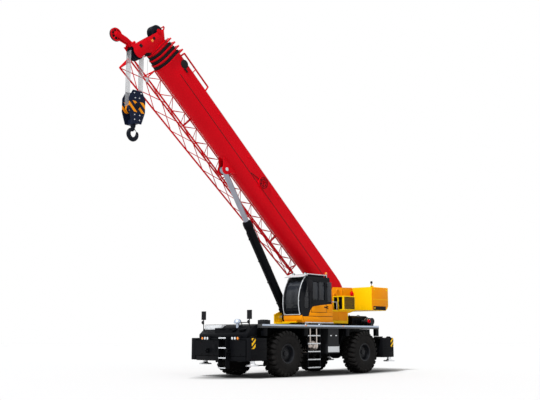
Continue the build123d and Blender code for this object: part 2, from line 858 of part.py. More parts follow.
with BuildPart() as winches:
    for drum_z in (drum_lower_z, drum_upper_z):
        disc(side(0), (drum_x, drum_z), drum_r, cheek_in, both=True)
        for sy in (-1, 1):
            disc(side(sy * drum_flange_y), (drum_x, drum_z), drum_flange_r, drum_flange_t / 2, both=True)
save(winches.part, "winches")

# Cab: a curved-front shell with its windows cut, door, panes and seat
cab_mid = (cab_in + cab_out) / 2
cab_half = (cab_out - cab_in) / 2


def cab_profile(inset):
    with BuildSketch(side(cab_mid)) as outline:
        with BuildLine():
            Polyline(
                (cab_nose_x, cab_sill_z),
                (cab_rear, cab_sill_z),
                (cab_rear, cab_sill + cab_wall),
                (cab_back_x, cab_roof),
                (cab_brow_x, cab_roof),
            )
            ThreePointArc((cab_brow_x, cab_roof), (cab_bulge_x, cab_bulge_z), (cab_nose_x, cab_sill_z))
        make_face()
        if inset:
            offset(amount=-inset, kind=Kind.INTERSECTION, mode=Mode.REPLACE)
    return outline.sketch


with BuildPart() as cab_shell:
    extrude(cab_profile(0), amount=cab_half, both=True)
    extrude(cab_profile(cab_wall), amount=cab_half - cab_wall, both=True, mode=Mode.SUBTRACT)
    block((door_rear, door_front), (cab_mid, cab_out), (door_low, door_high), Mode.SUBTRACT)
    screen_y = (cab_in + cab_frame, cab_out - cab_frame)
    block((quarter_rear, cab_front), screen_y, (screen_low, screen_high), Mode.SUBTRACT)
    block(roof_window, screen_y, (cab_roof - cab_wall, cab_roof), Mode.SUBTRACT)
    quarter = [
        (quarter_rear, screen_low + cab_frame),
        (quarter_front, screen_low + cab_frame),
        (quarter_front, cab_bulge_z),
        (quarter_top_front - cab_wall, screen_high - cab_frame),
        (quarter_rear, screen_high - cab_frame),
    ]
    prism(side(cab_mid), quarter, 2 * cab_half, both=True, mode=Mode.SUBTRACT)
    far_window = [
        (door_rear, rear_window_low),
        (door_front, rear_window_low),
        (door_front, screen_high - cab_frame),
        (door_rear, screen_high - cab_frame),
    ]
    prism(side(cab_mid), far_window, 2 * cab_half, mode=Mode.SUBTRACT)
    hinge_at = (door_rear + door_gap / 2, cab_out + hinge_off)
    for hinge_z in hinge_zs:
        disc(level(hinge_z), hinge_at, hinge_pin_r, hinge_half + hinge_leaf, both=True)
        for leaf_z in (hinge_z - hinge_half - hinge_leaf, hinge_z + hinge_half + door_gap):
            leaf_x = (hinge_at[0] - hinge_strap / 2, hinge_at[0])
            block(leaf_x, (cab_out, cab_out + hinge_off + hinge_pin_r), (leaf_z, leaf_z + hinge_leaf - door_gap))
    guard_x = (roof_window[0] - cab_wall, roof_window[1] + cab_wall)
    guard_z = (cab_roof + roof_bar_rise - roof_bar, cab_roof + roof_bar_rise)
    for foot_end in (guard_x[0], guard_x[1] - roof_bar):
        block((foot_end, foot_end + roof_bar), screen_y, (cab_roof, guard_z[1]))
    bar_pitch = (screen_y[1] - screen_y[0] - roof_bar) / (roof_bars - 1)
    for roof_rail in range(roof_bars):
        rail_y = screen_y[0] + roof_rail * bar_pitch
        block(guard_x, (rail_y, rail_y + roof_bar), guard_z)
    disc(level(cab_roof), (beacon_x, beacon_y), beacon_r, beacon_h)
save(cab_shell.part, "cab_shell")

with BuildPart() as cab_glass:
    pane_depth = (cab_wall - glass_t) / 2
    extrude(cab_profile(pane_depth), amount=cab_half - cab_frame, both=True)
    extrude(cab_profile(pane_depth + glass_t), amount=cab_half - cab_frame, both=True, mode=Mode.SUBTRACT)
    block((quarter_rear, cab_front), screen_y, (screen_low, screen_high), Mode.INTERSECT)
    roof_pane = (cab_roof - pane_depth - glass_t, cab_roof - pane_depth)
    block(roof_window, screen_y, roof_pane)
    for pane_y in (cab_in + pane_depth + glass_t, cab_out - pane_depth):
        prism(side(pane_y), quarter, glass_t)
    prism(side(cab_in + pane_depth + glass_t), far_window, glass_t)
save(cab_glass.part, "cab_glass")

with BuildPart() as cab_door:
    door_x = (door_rear + door_gap, door_front - door_gap)
    door_z = (door_low + door_gap, door_high - door_gap)
    block(door_x, (cab_out - cab_wall, cab_out), door_z)
    window_x = (door_x[0] + door_rail, door_x[1] - door_rail)
    window_z = (door_waist, door_z[1] - door_rail)
    block(window_x, (cab_out - cab_wall, cab_out), window_z, Mode.SUBTRACT)
    for hinge_z in hinge_zs:
        strap_x = (hinge_at[0], hinge_at[0] + hinge_strap)
        block(strap_x, (cab_out, cab_out + hinge_off), (hinge_z - hinge_half, hinge_z + hinge_half))
        disc(level(hinge_z), hinge_at, hinge_sleeve_r, hinge_half, both=True)
        disc(level(hinge_z), hinge_at, hinge_pin_r + running_gap, hinge_half, both=True, mode=Mode.SUBTRACT)
save(cab_door.part, "cab_door")

with BuildPart() as door_glass:
    pane_y = cab_out - cab_wall / 2
    block(window_x, (pane_y - glass_t, pane_y), window_z)
save(door_glass.part, "door_glass")

with BuildPart() as cab_seat:
    seat_back = seat_x - seat_depth / 2
    block((seat_back, seat_x + seat_depth / 2), (seat_y - seat_half, seat_y + seat_half), (seat_z - seat_t, seat_z))
    block((seat_back, seat_back + back_t), (seat_y - seat_half, seat_y + seat_half), (seat_z, seat_z + back_h))
    disc(level(cab_sill_z + cab_wall), (seat_x, seat_y), seat_post_r, seat_z - seat_t - cab_sill_z - cab_wall)
save(cab_seat.part, "cab_seat")


# Boom: box top and round bottom, each section sliding in the collar of the one before
def boom_profile(plane, half, top):
    with BuildSketch(plane) as section:
        with BuildLine():
            Polyline((-half, boom_round_n), (-half, top), (half, top), (half, boom_round_n))
            ThreePointArc((half, boom_round_n), (0, boom_round_n - half), (-half, boom_round_n))
        make_face()
        fillet(section.vertices().group_by(Axis.Y)[-1], boom_corner)
    return section.sketch


def collar(s, index):
    outer = boom_half - index * section_step + collar_side
    outer_top = boom_top - index * section_step + collar_up
    inner = boom_half - (index + 1) * section_step + slide_gap
    inner_top = boom_top - (index + 1) * section_step + slide_gap
    extrude(boom_profile(boom_cut(s - collar_t), outer, outer_top), amount=collar_t)
    extrude(boom_profile(boom_cut(s - collar_t), inner, inner_top), amount=collar_t, mode=Mode.SUBTRACT)


with BuildPart() as boom_base:
    extrude(boom_profile(boom_cut(0), boom_half, boom_top), amount=base_len)
    tail_core = [
        (tail_r, tail_r - boom_corner),
        (tail_full, boom_top - boom_corner),
        (tail_full, boom_round_n - tail_r),
        (tail_r, -tail_r + boom_corner),
    ]
    prism(boom_side(0), tail_core, tail_r, both=True, mode=Mode.SUBTRACT)
    for edge in (1, -1):
        tail_points = [
            (-2 * tail_r, edge * tail_r),
            (0, edge * tail_r),
            (tail_full, edge * boom_top),
            (tail_full, edge * 2 * boom_top),
            (-2 * tail_r, edge * 2 * boom_top),
        ]
        prism(boom_side(0), tail_points, 2 * boom_half, both=True, mode=Mode.SUBTRACT)
    disc(boom_side(0), (0, 0), tail_r, boom_half, both=True)
    collar(base_len, 0)
    disc(boom_side(boom_half + reel_t), (reel_s, reel_n), reel_r, reel_t)
    disc(boom_side(boom_half + reel_t), (reel_s, reel_n), reel_hub_r, reel_t / 2, mode=Mode.SUBTRACT)
    for sy in (-1, 1):
        ear_y = sy * (rod_eye_half + ear_gap + ear_t / 2)
        with BuildSketch(boom_side(ear_y)) as ear:
            with BuildLine():
                Polyline(
                    (lug_s - ear_run, -boom_top + boom_half / 2),
                    (lug_s + ear_run, -boom_top + boom_half / 2),
                    (lug_s + ear_r, lug_n),
                )
                ThreePointArc((lug_s + ear_r, lug_n), (lug_s, lug_n - ear_r), (lug_s - ear_r, lug_n))
                Line((lug_s - ear_r, lug_n), (lug_s - ear_run, -boom_top + boom_half / 2))
            make_face()
        extrude(ear.sketch, amount=ear_t / 2, both=True)
    hollow = boom_profile(boom_cut(tail_full), boom_half - boom_wall, boom_top - boom_wall)
    extrude(hollow, amount=base_len - tail_full - collar_t, mode=Mode.SUBTRACT)
    disc(boom_side(0), (0, 0), foot_sleeve_r + running_gap, boom_half, both=True, mode=Mode.SUBTRACT)
save(boom_base.part, "boom_base")

with BuildPart() as boom_foot_pin:
    disc(side(0), (foot_x, foot_z), foot_pin_r, cheek_out, both=True)
    disc(side(0), (foot_x, foot_z), foot_sleeve_r, boom_half, both=True)
save(boom_foot_pin.part, "boom_foot_pin")

for index in range(1, section_count):
    half = boom_half - index * section_step
    top = boom_top - index * section_step
    tail_s = section_tail + (index - 1) * tail_step
    end_s = base_len + index * collar_step
    if index == section_count - 1:
        end_s = base_len + (index - 1) * collar_step + head_gap + collar_t
    with BuildPart() as boom_section:
        extrude(boom_profile(boom_cut(tail_s), half, top), amount=end_s - tail_s)
        inner = boom_profile(boom_cut(tail_s), half - boom_wall, top - boom_wall)
        extrude(inner, amount=end_s - tail_s, mode=Mode.SUBTRACT)
        if index < section_count - 1:
            collar(end_s, index)
        else:
            head_start = end_s - collar_t
            beam_end_s = lower_s + sheave_r + cross_beam_out
            for sy in (-1, 1):
                head_y = sy * (head_half + head_plate_t / 2)
                with BuildSketch(boom_side(head_y)) as head_plate:
                    with BuildLine():
                        Polyline(
                            (head_heel_s, head_heel_n),
                            (head_start, head_throat_n),
                            (head_start, top),
                            (head_rise_s, head_rise_n),
                            (head_brow_s, head_rise_n),
                            (head_end, upper_n),
                            (head_waist_s, head_waist_n),
                            (beam_end_s, head_toe_n),
                        )
                        ThreePointArc((beam_end_s, head_toe_n), (lower_s, head_sole_n), (head_heel_s, head_heel_n))
                    make_face()
                extrude(head_plate.sketch, amount=head_plate_t / 2, both=True)
            extrude(boom_profile(boom_cut(head_start), half, top), amount=collar_t)
            tube(boom_point(upper_s, upper_n, -head_half), boom_point(upper_s, upper_n, head_half), sheave_shaft_r)
            tube(boom_point(upper_s, upper_n, -sheave_t), boom_point(upper_s, upper_n, sheave_t), sheave_r - sheave_groove)
            cross_beam = [
                (beam_end_s - cross_beam_t, lower_n),
                (beam_end_s, lower_n),
                (beam_end_s, lower_n + sheave_r / 2),
                (beam_end_s - cross_beam_t, lower_n + sheave_r / 2),
            ]
            prism(boom_side(0), cross_beam, head_half + head_plate_t, both=True)
            for sy in (-1, 1):
                nose_points = [
                    (beam_end_s - cross_beam_t, lower_n + sheave_r / 2),
                    (nose_s, nose_n + nose_sheave_r / 2),
                    (nose_s + nose_sheave_r / 2, nose_n),
                    (nose_s, nose_n - nose_sheave_r / 2),
                    (beam_end_s - cross_beam_t, lower_n),
                ]
                nose_y = sy * (nose_half + nose_plate_t / 2)
                prism(boom_side(nose_y), nose_points, nose_plate_t / 2, both=True)
            tube(boom_point(nose_s, nose_n, -nose_half), boom_point(nose_s, nose_n, nose_half), sheave_shaft_r)
            tube(boom_point(nose_s, nose_n, -sheave_t / 2), boom_point(nose_s, nose_n, sheave_t / 2), nose_sheave_r)
            disc(boom_side(0), (lower_s, lower_n), sheave_shaft_r + running_gap, 2 * head_half, True, Mode.SUBTRACT)
            cut_r = sheave_r + ear_gap
            disc(boom_side(0), (lower_s, lower_n), cut_r, head_half - slide_gap, True, Mode.SUBTRACT)
    save(boom_section.part, f"boom_section_{index + 1}")

# Head sheaves on their shaft, rope falls, and the hook block under them
head_at = Vector(*boom_point(lower_s, lower_n))
pack_half = sheave_pitch * (sheave_count - 1) / 2
with BuildPart() as head_sheaves:
    shaft_end = head_half + head_plate_t
    tube((head_at.X, -shaft_end, head_at.Z), (head_at.X, shaft_end, head_at.Z), sheave_shaft_r)
    for sheave in range(sheave_count):
        sheave_y = sheave * sheave_pitch - pack_half
        tube((head_at.X, sheave_y - sheave_t / 2, head_at.Z), (head_at.X, sheave_y + sheave_t / 2, head_at.Z), sheave_r)
save(head_sheaves.part, "head_sheaves")

with BuildPart() as hoist_falls:
    fall_x = sheave_r + rope_r + slide_gap
    for sheave in range(sheave_count):
        fall_y = sheave * sheave_pitch - pack_half
        for sx in (-1, 1):
            fall_top = (head_at.X + sx * fall_x, fall_y, head_at.Z)
            fall_end = (head_at.X + sx * fall_x, fall_y, head_at.Z - block_drop)
            bar(fall_top, fall_end, rope_r, rope_sides)
save(hoist_falls.part, "hoist_falls")

with BuildPart() as hook_block:
    hang_x = head_at.X - slew_x
    block_z = head_at.Z - block_drop
    cheek_shape = [
        (hang_x - block_neck, block_z + block_up),
        (hang_x + block_neck, block_z + block_up),
        (hang_x + block_w / 2, block_z + block_up / 2),
        (hang_x + block_w / 2, block_z - block_neck),
        (hang_x + block_neck, block_z - block_down),
        (hang_x - block_neck, block_z - block_down),
        (hang_x - block_w / 2, block_z - block_neck),
        (hang_x - block_w / 2, block_z + block_up / 2),
    ]
    for sy in (-1, 1):
        prism(side(sy * (block_half + block_plate_t / 2)), cheek_shape, block_plate_t / 2, both=True)
    disc(side(0), (hang_x, block_z), sheave_shaft_r, block_half, both=True)
    for sheave in range(sheave_count):
        sheave_y = sheave * sheave_pitch - pack_half
        disc(side(sheave_y), (hang_x, block_z), sheave_r, sheave_t / 2, both=True)
    trunnion_z = block_z - block_down
    block((hang_x - swivel_r, hang_x + swivel_r), (-block_half, block_half), (trunnion_z, trunnion_z + swivel_len))
    shank_bore = hook_shank_r + running_gap
    disc(level(trunnion_z), (hang_x, 0), shank_bore, swivel_len, mode=Mode.SUBTRACT)
save(hook_block.part, "hook_block")

with BuildPart() as hook:
    hook_z = trunnion_z - swivel_r - hook_r
    disc(level(trunnion_z + swivel_len), (hang_x, 0), hook_shank_r, hook_z + hook_throat_r - trunnion_z - swivel_len)
    disc(level(trunnion_z - slide_gap), (hang_x, 0), swivel_r, -swivel_r)
    with BuildSketch(side(0)) as hook_profile:
        with Locations((hang_x, hook_z)):
            Circle(hook_r)
        with Locations((hang_x, hook_z + hook_r / 2)):
            Rectangle(2 * swivel_r, hook_r)
        with Locations((hang_x, hook_z)):
            Circle(hook_throat_r, mode=Mode.SUBTRACT)
        with Locations((hang_x - hook_r / 2 - hook_throat_r / 2, hook_z + hook_r / 2)):
            Rectangle(hook_r, hook_r, mode=Mode.SUBTRACT)
    extrude(hook_profile.sketch, amount=hook_t / 2, both=True)
save(hook.part, "hook")

# Lift cylinder: foot pin, barrel, piston and rod along one line
lift_at = Vector(slew_x + lift_x, 0, lift_z)
lift_run = Vector(*boom_point(lug_s, lug_n)) - lift_at
lift_dir = lift_run.normalized()


def lift_tube(start, end, radius, mode=Mode.ADD):
    tube(tuple(lift_at + lift_dir * start), tuple(lift_at + lift_dir * end), radius, mode)


with BuildPart() as lift_pin:
    disc(side(0), (lift_x, lift_z), lift_pin_r, cheek_out, both=True)
save(lift_pin.part, "lift_pin")

with BuildPart() as lift_barrel:
    lift_tube(0, barrel_len, barrel_r)
    disc(side(0), (lift_x, lift_z), lift_eye_r, lift_eye_half, both=True)
    lift_tube(barrel_root, barrel_len - gland_len, barrel_r - barrel_wall, Mode.SUBTRACT)
    lift_tube(barrel_root, barrel_len, rod_r + running_gap, Mode.SUBTRACT)
    disc(side(0), (lift_x, lift_z), lift_pin_r + running_gap, lift_eye_half, both=True, mode=Mode.SUBTRACT)
save(lift_barrel.part, "lift_barrel")

with BuildPart() as lift_piston:
    lift_tube(rod_root - piston_len, rod_root - slide_gap, barrel_r - barrel_wall - running_gap)
save(lift_piston.part, "lift_piston")

with BuildPart() as lift_rod:
    lift_tube(rod_root, lift_run.length, rod_r)
    disc(boom_side(0), (lug_s, lug_n), rod_eye_r, rod_eye_half, both=True)
save(lift_rod.part, "lift_rod")


# Lattice jib: three chords that draw together towards the tip, laced on each face
def jib_node(share, root, tip):
    s = jib_root_s + share * (jib_tip_s - jib_root_s)
    y = root[0] + share * (tip[0] - root[0])
    n = root[1] + share * (tip[1] - root[1])
    return boom_point(s, n, y)


def strut(start, end, radius):
    run = Vector(*end) - Vector(*start)
    with BuildSketch(Plane(origin=start, z_dir=run)) as profile:
        RegularPolygon(radius, jib_sides)
    return extrude(profile.sketch, amount=run.length, mode=Mode.PRIVATE)


jib_chords = (
    (jib_root_low, jib_tip_low),
    (jib_root_high, jib_tip_high),
    (jib_root_out, jib_tip_out),
)
with BuildPart() as jib:
    struts = [strut(jib_node(0, *chord), jib_node(1, *chord), jib_chord_r) for chord in jib_chords]
    for face in range(len(jib_chords)):
        near = jib_chords[face]
        far = jib_chords[(face + 1) % len(jib_chords)]
        for bay in range(jib_bays):
            low = bay / jib_bays
            high = (bay + 1) / jib_bays
            struts.append(strut(jib_node(low, *near), jib_node(high, *far), jib_lace_r))
        for end in (0, 1):
            struts.append(strut(jib_node(end, *near), jib_node(end, *far), jib_chord_r))
    add(struts)
    for bracket_s in jib_bracket_s:
        share = (bracket_s - jib_root_s) / (jib_tip_s - jib_root_s)
        hold_y = jib_root_high[0] + share * (jib_tip_high[0] - jib_root_high[0])
        hold_n = jib_root_high[1] + share * (jib_tip_high[1] - jib_root_high[1])
        bracket = [
            (-boom_half, boom_top / 2),
            (-boom_half, boom_round_n),
            (hold_y, hold_n - jib_chord_r),
            (hold_y - jib_bracket_t, hold_n),
        ]
        prism(boom_cut(bracket_s), bracket, jib_bracket_t)
save(jib.part, "jib")
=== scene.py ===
import json
import math
import bpy
import bmesh
from mathutils import Matrix, Vector


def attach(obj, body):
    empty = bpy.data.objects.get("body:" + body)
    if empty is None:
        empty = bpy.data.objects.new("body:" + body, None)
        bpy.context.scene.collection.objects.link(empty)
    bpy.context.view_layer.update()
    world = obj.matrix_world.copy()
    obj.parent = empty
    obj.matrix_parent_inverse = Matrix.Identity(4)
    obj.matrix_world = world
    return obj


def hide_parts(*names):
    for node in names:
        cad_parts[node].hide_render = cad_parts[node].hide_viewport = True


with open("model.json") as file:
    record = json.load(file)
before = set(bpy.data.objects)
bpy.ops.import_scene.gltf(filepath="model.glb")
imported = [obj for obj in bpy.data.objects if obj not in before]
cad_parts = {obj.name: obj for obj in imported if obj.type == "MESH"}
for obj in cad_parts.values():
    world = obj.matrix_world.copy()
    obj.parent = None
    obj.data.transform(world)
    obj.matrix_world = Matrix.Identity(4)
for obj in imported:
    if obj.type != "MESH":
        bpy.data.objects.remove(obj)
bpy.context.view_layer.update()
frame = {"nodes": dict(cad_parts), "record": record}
nodes = frame["nodes"]
scene = bpy.context.scene
print("frame loaded,", len(nodes), "solids")

# main places, with x counted from the slew axis, and s and n along and above the boom
crane = {
    "slewX": -2.617, "luff": 41.0, "boomFoot": (-2.45, 3.175), "liftFoot": (0.65, 2.32),
    "liftLug": (8.35, -0.78), "axle": 2.425, "track": 1.34, "hub": 0.875, "jackY": 1.556,
}
corners = (("fl", 1, 1), ("fr", 1, -1), ("rl", -1, 1), ("rr", -1, -1))
bothSides = (-1, 1)
lengthwise, crosswise, upward = (1, 0, 0), (0, 1, 0), (0, 0, 1)


def at(x, y, z):
    return Vector((crane["slewX"] + x, y, z))


deckFrame = Matrix.Translation(at(0, 0, 0))
footPlace = Matrix.Translation(at(crane["boomFoot"][0], 0, crane["boomFoot"][1]))
boomFrame = footPlace @ Matrix.Rotation(-math.radians(crane["luff"]), 4, "Y")


def onBoom(s, n):
    return boomFrame @ Vector((s, 0, n))


# one socket of a shader tree, with the maths that the finishes use
class Val:
    def __init__(self, owner, socket):
        self.owner = owner
        self.socket = socket

    def calc(self, operation, a, b=0.0):
        return self.owner.node("ShaderNodeMath", {"operation": operation}, {0: a, 1: b})

    def __add__(self, other):
        return self.calc("ADD", self, other)

    __radd__ = __add__

    def __mul__(self, other):
        return self.calc("MULTIPLY", self, other)

    __rmul__ = __mul__

    def __sub__(self, other):
        return self.calc("SUBTRACT", self, other)

    def __rsub__(self, other):
        return self.calc("SUBTRACT", other, self)

    def __gt__(self, other):
        return self.calc("GREATER_THAN", self, other)

    def __lt__(self, other):
        return self.calc("LESS_THAN", self, other)

    def most(self, other):
        return self.calc("MAXIMUM", self, other)

    def fract(self):
        return self.calc("FRACT", self)

    def wave(self):
        return self.calc("SINE", self)


# a node tree under work, where one method makes every node
class Shading:
    def __init__(self, tree):
        self.tree = tree
        tree.nodes.clear()

    def node(self, kind, settings=None, sockets=None, out=0):
        made = self.tree.nodes.new(kind)
        for key, value in (settings or {}).items():
            setattr(made, key, value)
        for key, value in (sockets or {}).items():
            if isinstance(value, Val):
                self.tree.links.new(value.socket, made.inputs[key])
            else:
                made.inputs[key].default_value = value
        return Val(self, made.outputs[out]) if made.outputs else None


class Finish(Shading):
    def __init__(self, name, **fixed):
        self.material = bpy.data.materials.new(name)
        self.material.use_nodes = True
        super().__init__(self.material.node_tree)
        plain = {key.replace("_", " "): value for key, value in fixed.items()}
        surface = self.node("ShaderNodeBsdfPrincipled", {}, plain)
        self.shader = surface.socket.node
        self.node("ShaderNodeOutputMaterial", {}, {"Surface": surface})
        self.spot = self.node("ShaderNodeTexCoord", out="Object")

    def noise(self, scale, detail=3.0, spot=None):
        sockets = {"Vector": spot or self.spot, "Scale": scale, "Detail": detail}
        return self.node("ShaderNodeTexNoise", {}, sockets)

    def axis(self, letter):
        return self.node("ShaderNodeSeparateXYZ", {}, {"Vector": self.spot}, letter)

    def mix(self, share, first, second):
        first = first if isinstance(first, Val) else (*first, 1.0)
        second = second if isinstance(second, Val) else (*second, 1.0)
        return self.node("ShaderNodeMix", {"data_type": "RGBA"}, {0: share, 6: first, 7: second}, 2)

    def ramp(self, value, low, high):
        return self.node("ShaderNodeMapRange", {}, {"Value": value, "From Min": low, "From Max": high})

    def feed(self, name, value):
        self.tree.links.new(value.socket, self.shader.inputs[name])

    def bump(self, height, strength, distance):
        sockets = {"Strength": strength, "Distance": distance, "Height": height}
        self.feed("Normal", self.node("ShaderNodeBump", {}, sockets))


def shaded(colour, share):
    return tuple(min(1.0, share * part) for part in colour)


roadDust = (0.33, 0.30, 0.26)
paint = {"drift": 0.7, "grain": 34.0, "peel": 210.0, "peelDepth": 0.0015, "dustTop": 2.3, "dustFoot": 0.1,
         "deep": 0.72}


# sprayed steel: slight tone drift, orange peel, road dust that thins out upwards
def sprayed(name, colour, rough, dust, sheen, peel=0.12):
    finish = Finish(name, Specular_IOR_Level=sheen)
    drift = finish.noise(paint["drift"])
    grain = finish.noise(paint["grain"], 2.0)
    low = finish.ramp(finish.axis("Z"), paint["dustTop"], paint["dustFoot"])
    soil = (low * 0.85 + 0.1) * drift * dust
    tone = finish.mix(finish.ramp(drift, 0.35, 0.7) * 0.35, colour, shaded(colour, paint["deep"]))
    finish.feed("Base Color", finish.mix(soil, tone, roadDust))
    finish.feed("Roughness", grain * 0.12 + soil * 0.4 + (rough - 0.06))
    finish.bump(finish.noise(paint["peel"], 1.0) * 0.6 + grain, peel, paint["peelDepth"])
    return finish.material


brushing = {"lines": (2.0, 60.0, 60.0), "scale": 3.0, "stain": 1.7, "dull": 0.6}


def brushed(name, colour, rough):
    finish = Finish(name, Metallic=1.0)
    streak = finish.node("ShaderNodeMapping", {}, {"Vector": finish.spot, "Scale": brushing["lines"]})
    brush = finish.noise(brushing["scale"], 4.0, streak)
    stain = finish.noise(brushing["stain"])
    dull = shaded(colour, brushing["dull"])
    finish.feed("Base Color", finish.mix(finish.ramp(stain, 0.45, 0.8) * 0.5, colour, dull))
    finish.feed("Roughness", brush * 0.2 + stain * 0.12 + (rough - 0.15))
    finish.bump(brush, 0.12, 0.001)
    return finish.material


# slant holds the stripes per metre along and up, band the heights between which they show
def striped(name, base, stripe, slant, share, band=None):
    finish = Finish(name, Specular_IOR_Level=0.08)
    run = (finish.axis("X") + finish.axis("Y")) * slant[0] + finish.axis("Z") * slant[1]
    mask = run.fract() > share
    if band:
        mask = mask * (finish.axis("Z") > band[0]) * (finish.axis("Z") < band[1])
    wear = finish.noise(9.0)
    tone = finish.mix(mask, base, stripe)
    finish.feed("Base Color", finish.mix(finish.ramp(wear, 0.6, 0.9) * 0.10, tone, roadDust))
    finish.feed("Roughness", wear * 0.2 + 0.3)
    finish.bump(wear, 0.08, 0.001)
    return finish.material


rubber = {"cloud": 3.0, "grit": 70.0, "soilTop": 0.9, "soil": (0.12, 0.11, 0.10)}


def rubbery(name, colour, dust):
    finish = Finish(name, Specular_IOR_Level=0.06)
    cloud = finish.noise(rubber["cloud"], 5.0)
    grit = finish.noise(rubber["grit"])
    low = finish.ramp(finish.axis("Z"), rubber["soilTop"], 0.0)
    soil = finish.ramp(cloud, 0.35, 0.75) * (low * 0.6 + 0.4) * dust
    finish.feed("Base Color", finish.mix(soil, colour, rubber["soil"]))
    finish.feed("Roughness", cloud * 0.15 + 0.68)
    finish.bump(grit + cloud * 0.6, 0.3, 0.003)
    return finish.material


tread = {"pitch": 48.0, "scuff": 2.2, "bright": 1.5, "depth": 0.004}


def treadPlate(name, colour):
    finish = Finish(name, Metallic=0.35)
    x = finish.axis("X") * tread["pitch"]
    y = finish.axis("Y") * tread["pitch"]
    lozenge = (x + y).wave() * (x - y).wave()
    raised = finish.ramp(lozenge, 0.35, 0.6)
    scuff = finish.noise(tread["scuff"], 5.0)
    worn = raised * 0.5 + finish.ramp(scuff, 0.5, 0.8) * 0.3
    tone = finish.mix(worn, colour, shaded(colour, tread["bright"]))
    finish.feed("Base Color", finish.mix(finish.ramp(scuff, 0.3, 0.7) * 0.06, tone, roadDust))
    finish.feed("Roughness", scuff * 0.25 + 0.35)
    finish.bump(raised, 0.5, tread["depth"])
    return finish.material


glass = {"smearAndSkyReflection": (0.050, 0.056, 0.070), "skyReflectionLow": 2.7, "skyReflectionHigh": 4.0, "smear": 1.3}


# tinted glass with real smears, and a painted sky reflection that pales the upper panes
def tinted(name, colour, alpha):
    finish = Finish(name, Alpha=alpha, Specular_IOR_Level=0.35)
    smear = finish.noise(glass["smear"], 4.0)
    band = finish.ramp(finish.axis("Z"), glass["skyReflectionLow"], glass["skyReflectionHigh"])  # painted sky reflection, paler towards the roof
    smearAndSkyReflection = finish.ramp(smear, 0.5, 0.9) * 0.15 + band * 0.75
    finish.feed("Base Color", finish.mix(smearAndSkyReflection, colour, glass["smearAndSkyReflection"]))
    finish.feed("Roughness", smear * 0.08 + 0.03)
    return finish.material


lensRibs = {"pitch": 260.0, "deep": 0.6}


def lens(name, colour, glow):
    finish = Finish(name, Coat_Weight=0.5, Emission_Strength=glow)
    level, rise = [(finish.axis(letter) * lensRibs["pitch"]).wave() for letter in "YZ"]
    ribs = (level + rise) * 0.5
    tone = finish.mix(finish.ramp(ribs, -0.4, 0.8), shaded(colour, lensRibs["deep"]), colour)
    finish.feed("Base Color", tone)
    finish.feed("Emission Color", tone)
    finish.feed("Roughness", ribs * 0.04 + 0.12)
    finish.bump(ribs, 0.3, 0.002)
    return finish.material


strands = {"pitch": 180.0, "slant": 0.7, "grease": 2.5, "dark": 0.75}


def ropeLay(name, colour):
    finish = Finish(name, Metallic=0.6)
    run = finish.axis("Z") + finish.axis("X") * strands["slant"] + finish.axis("Y") * strands["slant"]
    lay = (run * strands["pitch"]).wave()
    grease = finish.noise(strands["grease"], 4.0)
    share = finish.ramp(lay, -0.6, 0.9) * 0.6 + grease * 0.3
    finish.feed("Base Color", finish.mix(share, shaded(colour, strands["dark"]), colour))
    finish.feed("Roughness", grease * 0.2 + 0.38)
    finish.bump(lay, 0.2, 0.002)
    return finish.material


weave = {"pitch": 1400.0, "fade": 6.0, "pale": 1.7}


def wovenCloth(name, colour):
    finish = Finish(name, Sheen_Weight=0.3)
    warp = (finish.axis("X") * weave["pitch"]).wave()
    weft = warp * ((finish.axis("Y") + finish.axis("Z")) * weave["pitch"]).wave()
    fade = finish.noise(weave["fade"])
    share = finish.ramp(weft, -0.5, 0.9) * 0.5 + fade * 0.2
    finish.feed("Base Color", finish.mix(share, colour, shaded(colour, weave["pale"])))
    finish.feed("Roughness", fade * 0.1 + 0.82)
    finish.bump(weft + fade, 0.25, 0.002)
    return finish.material


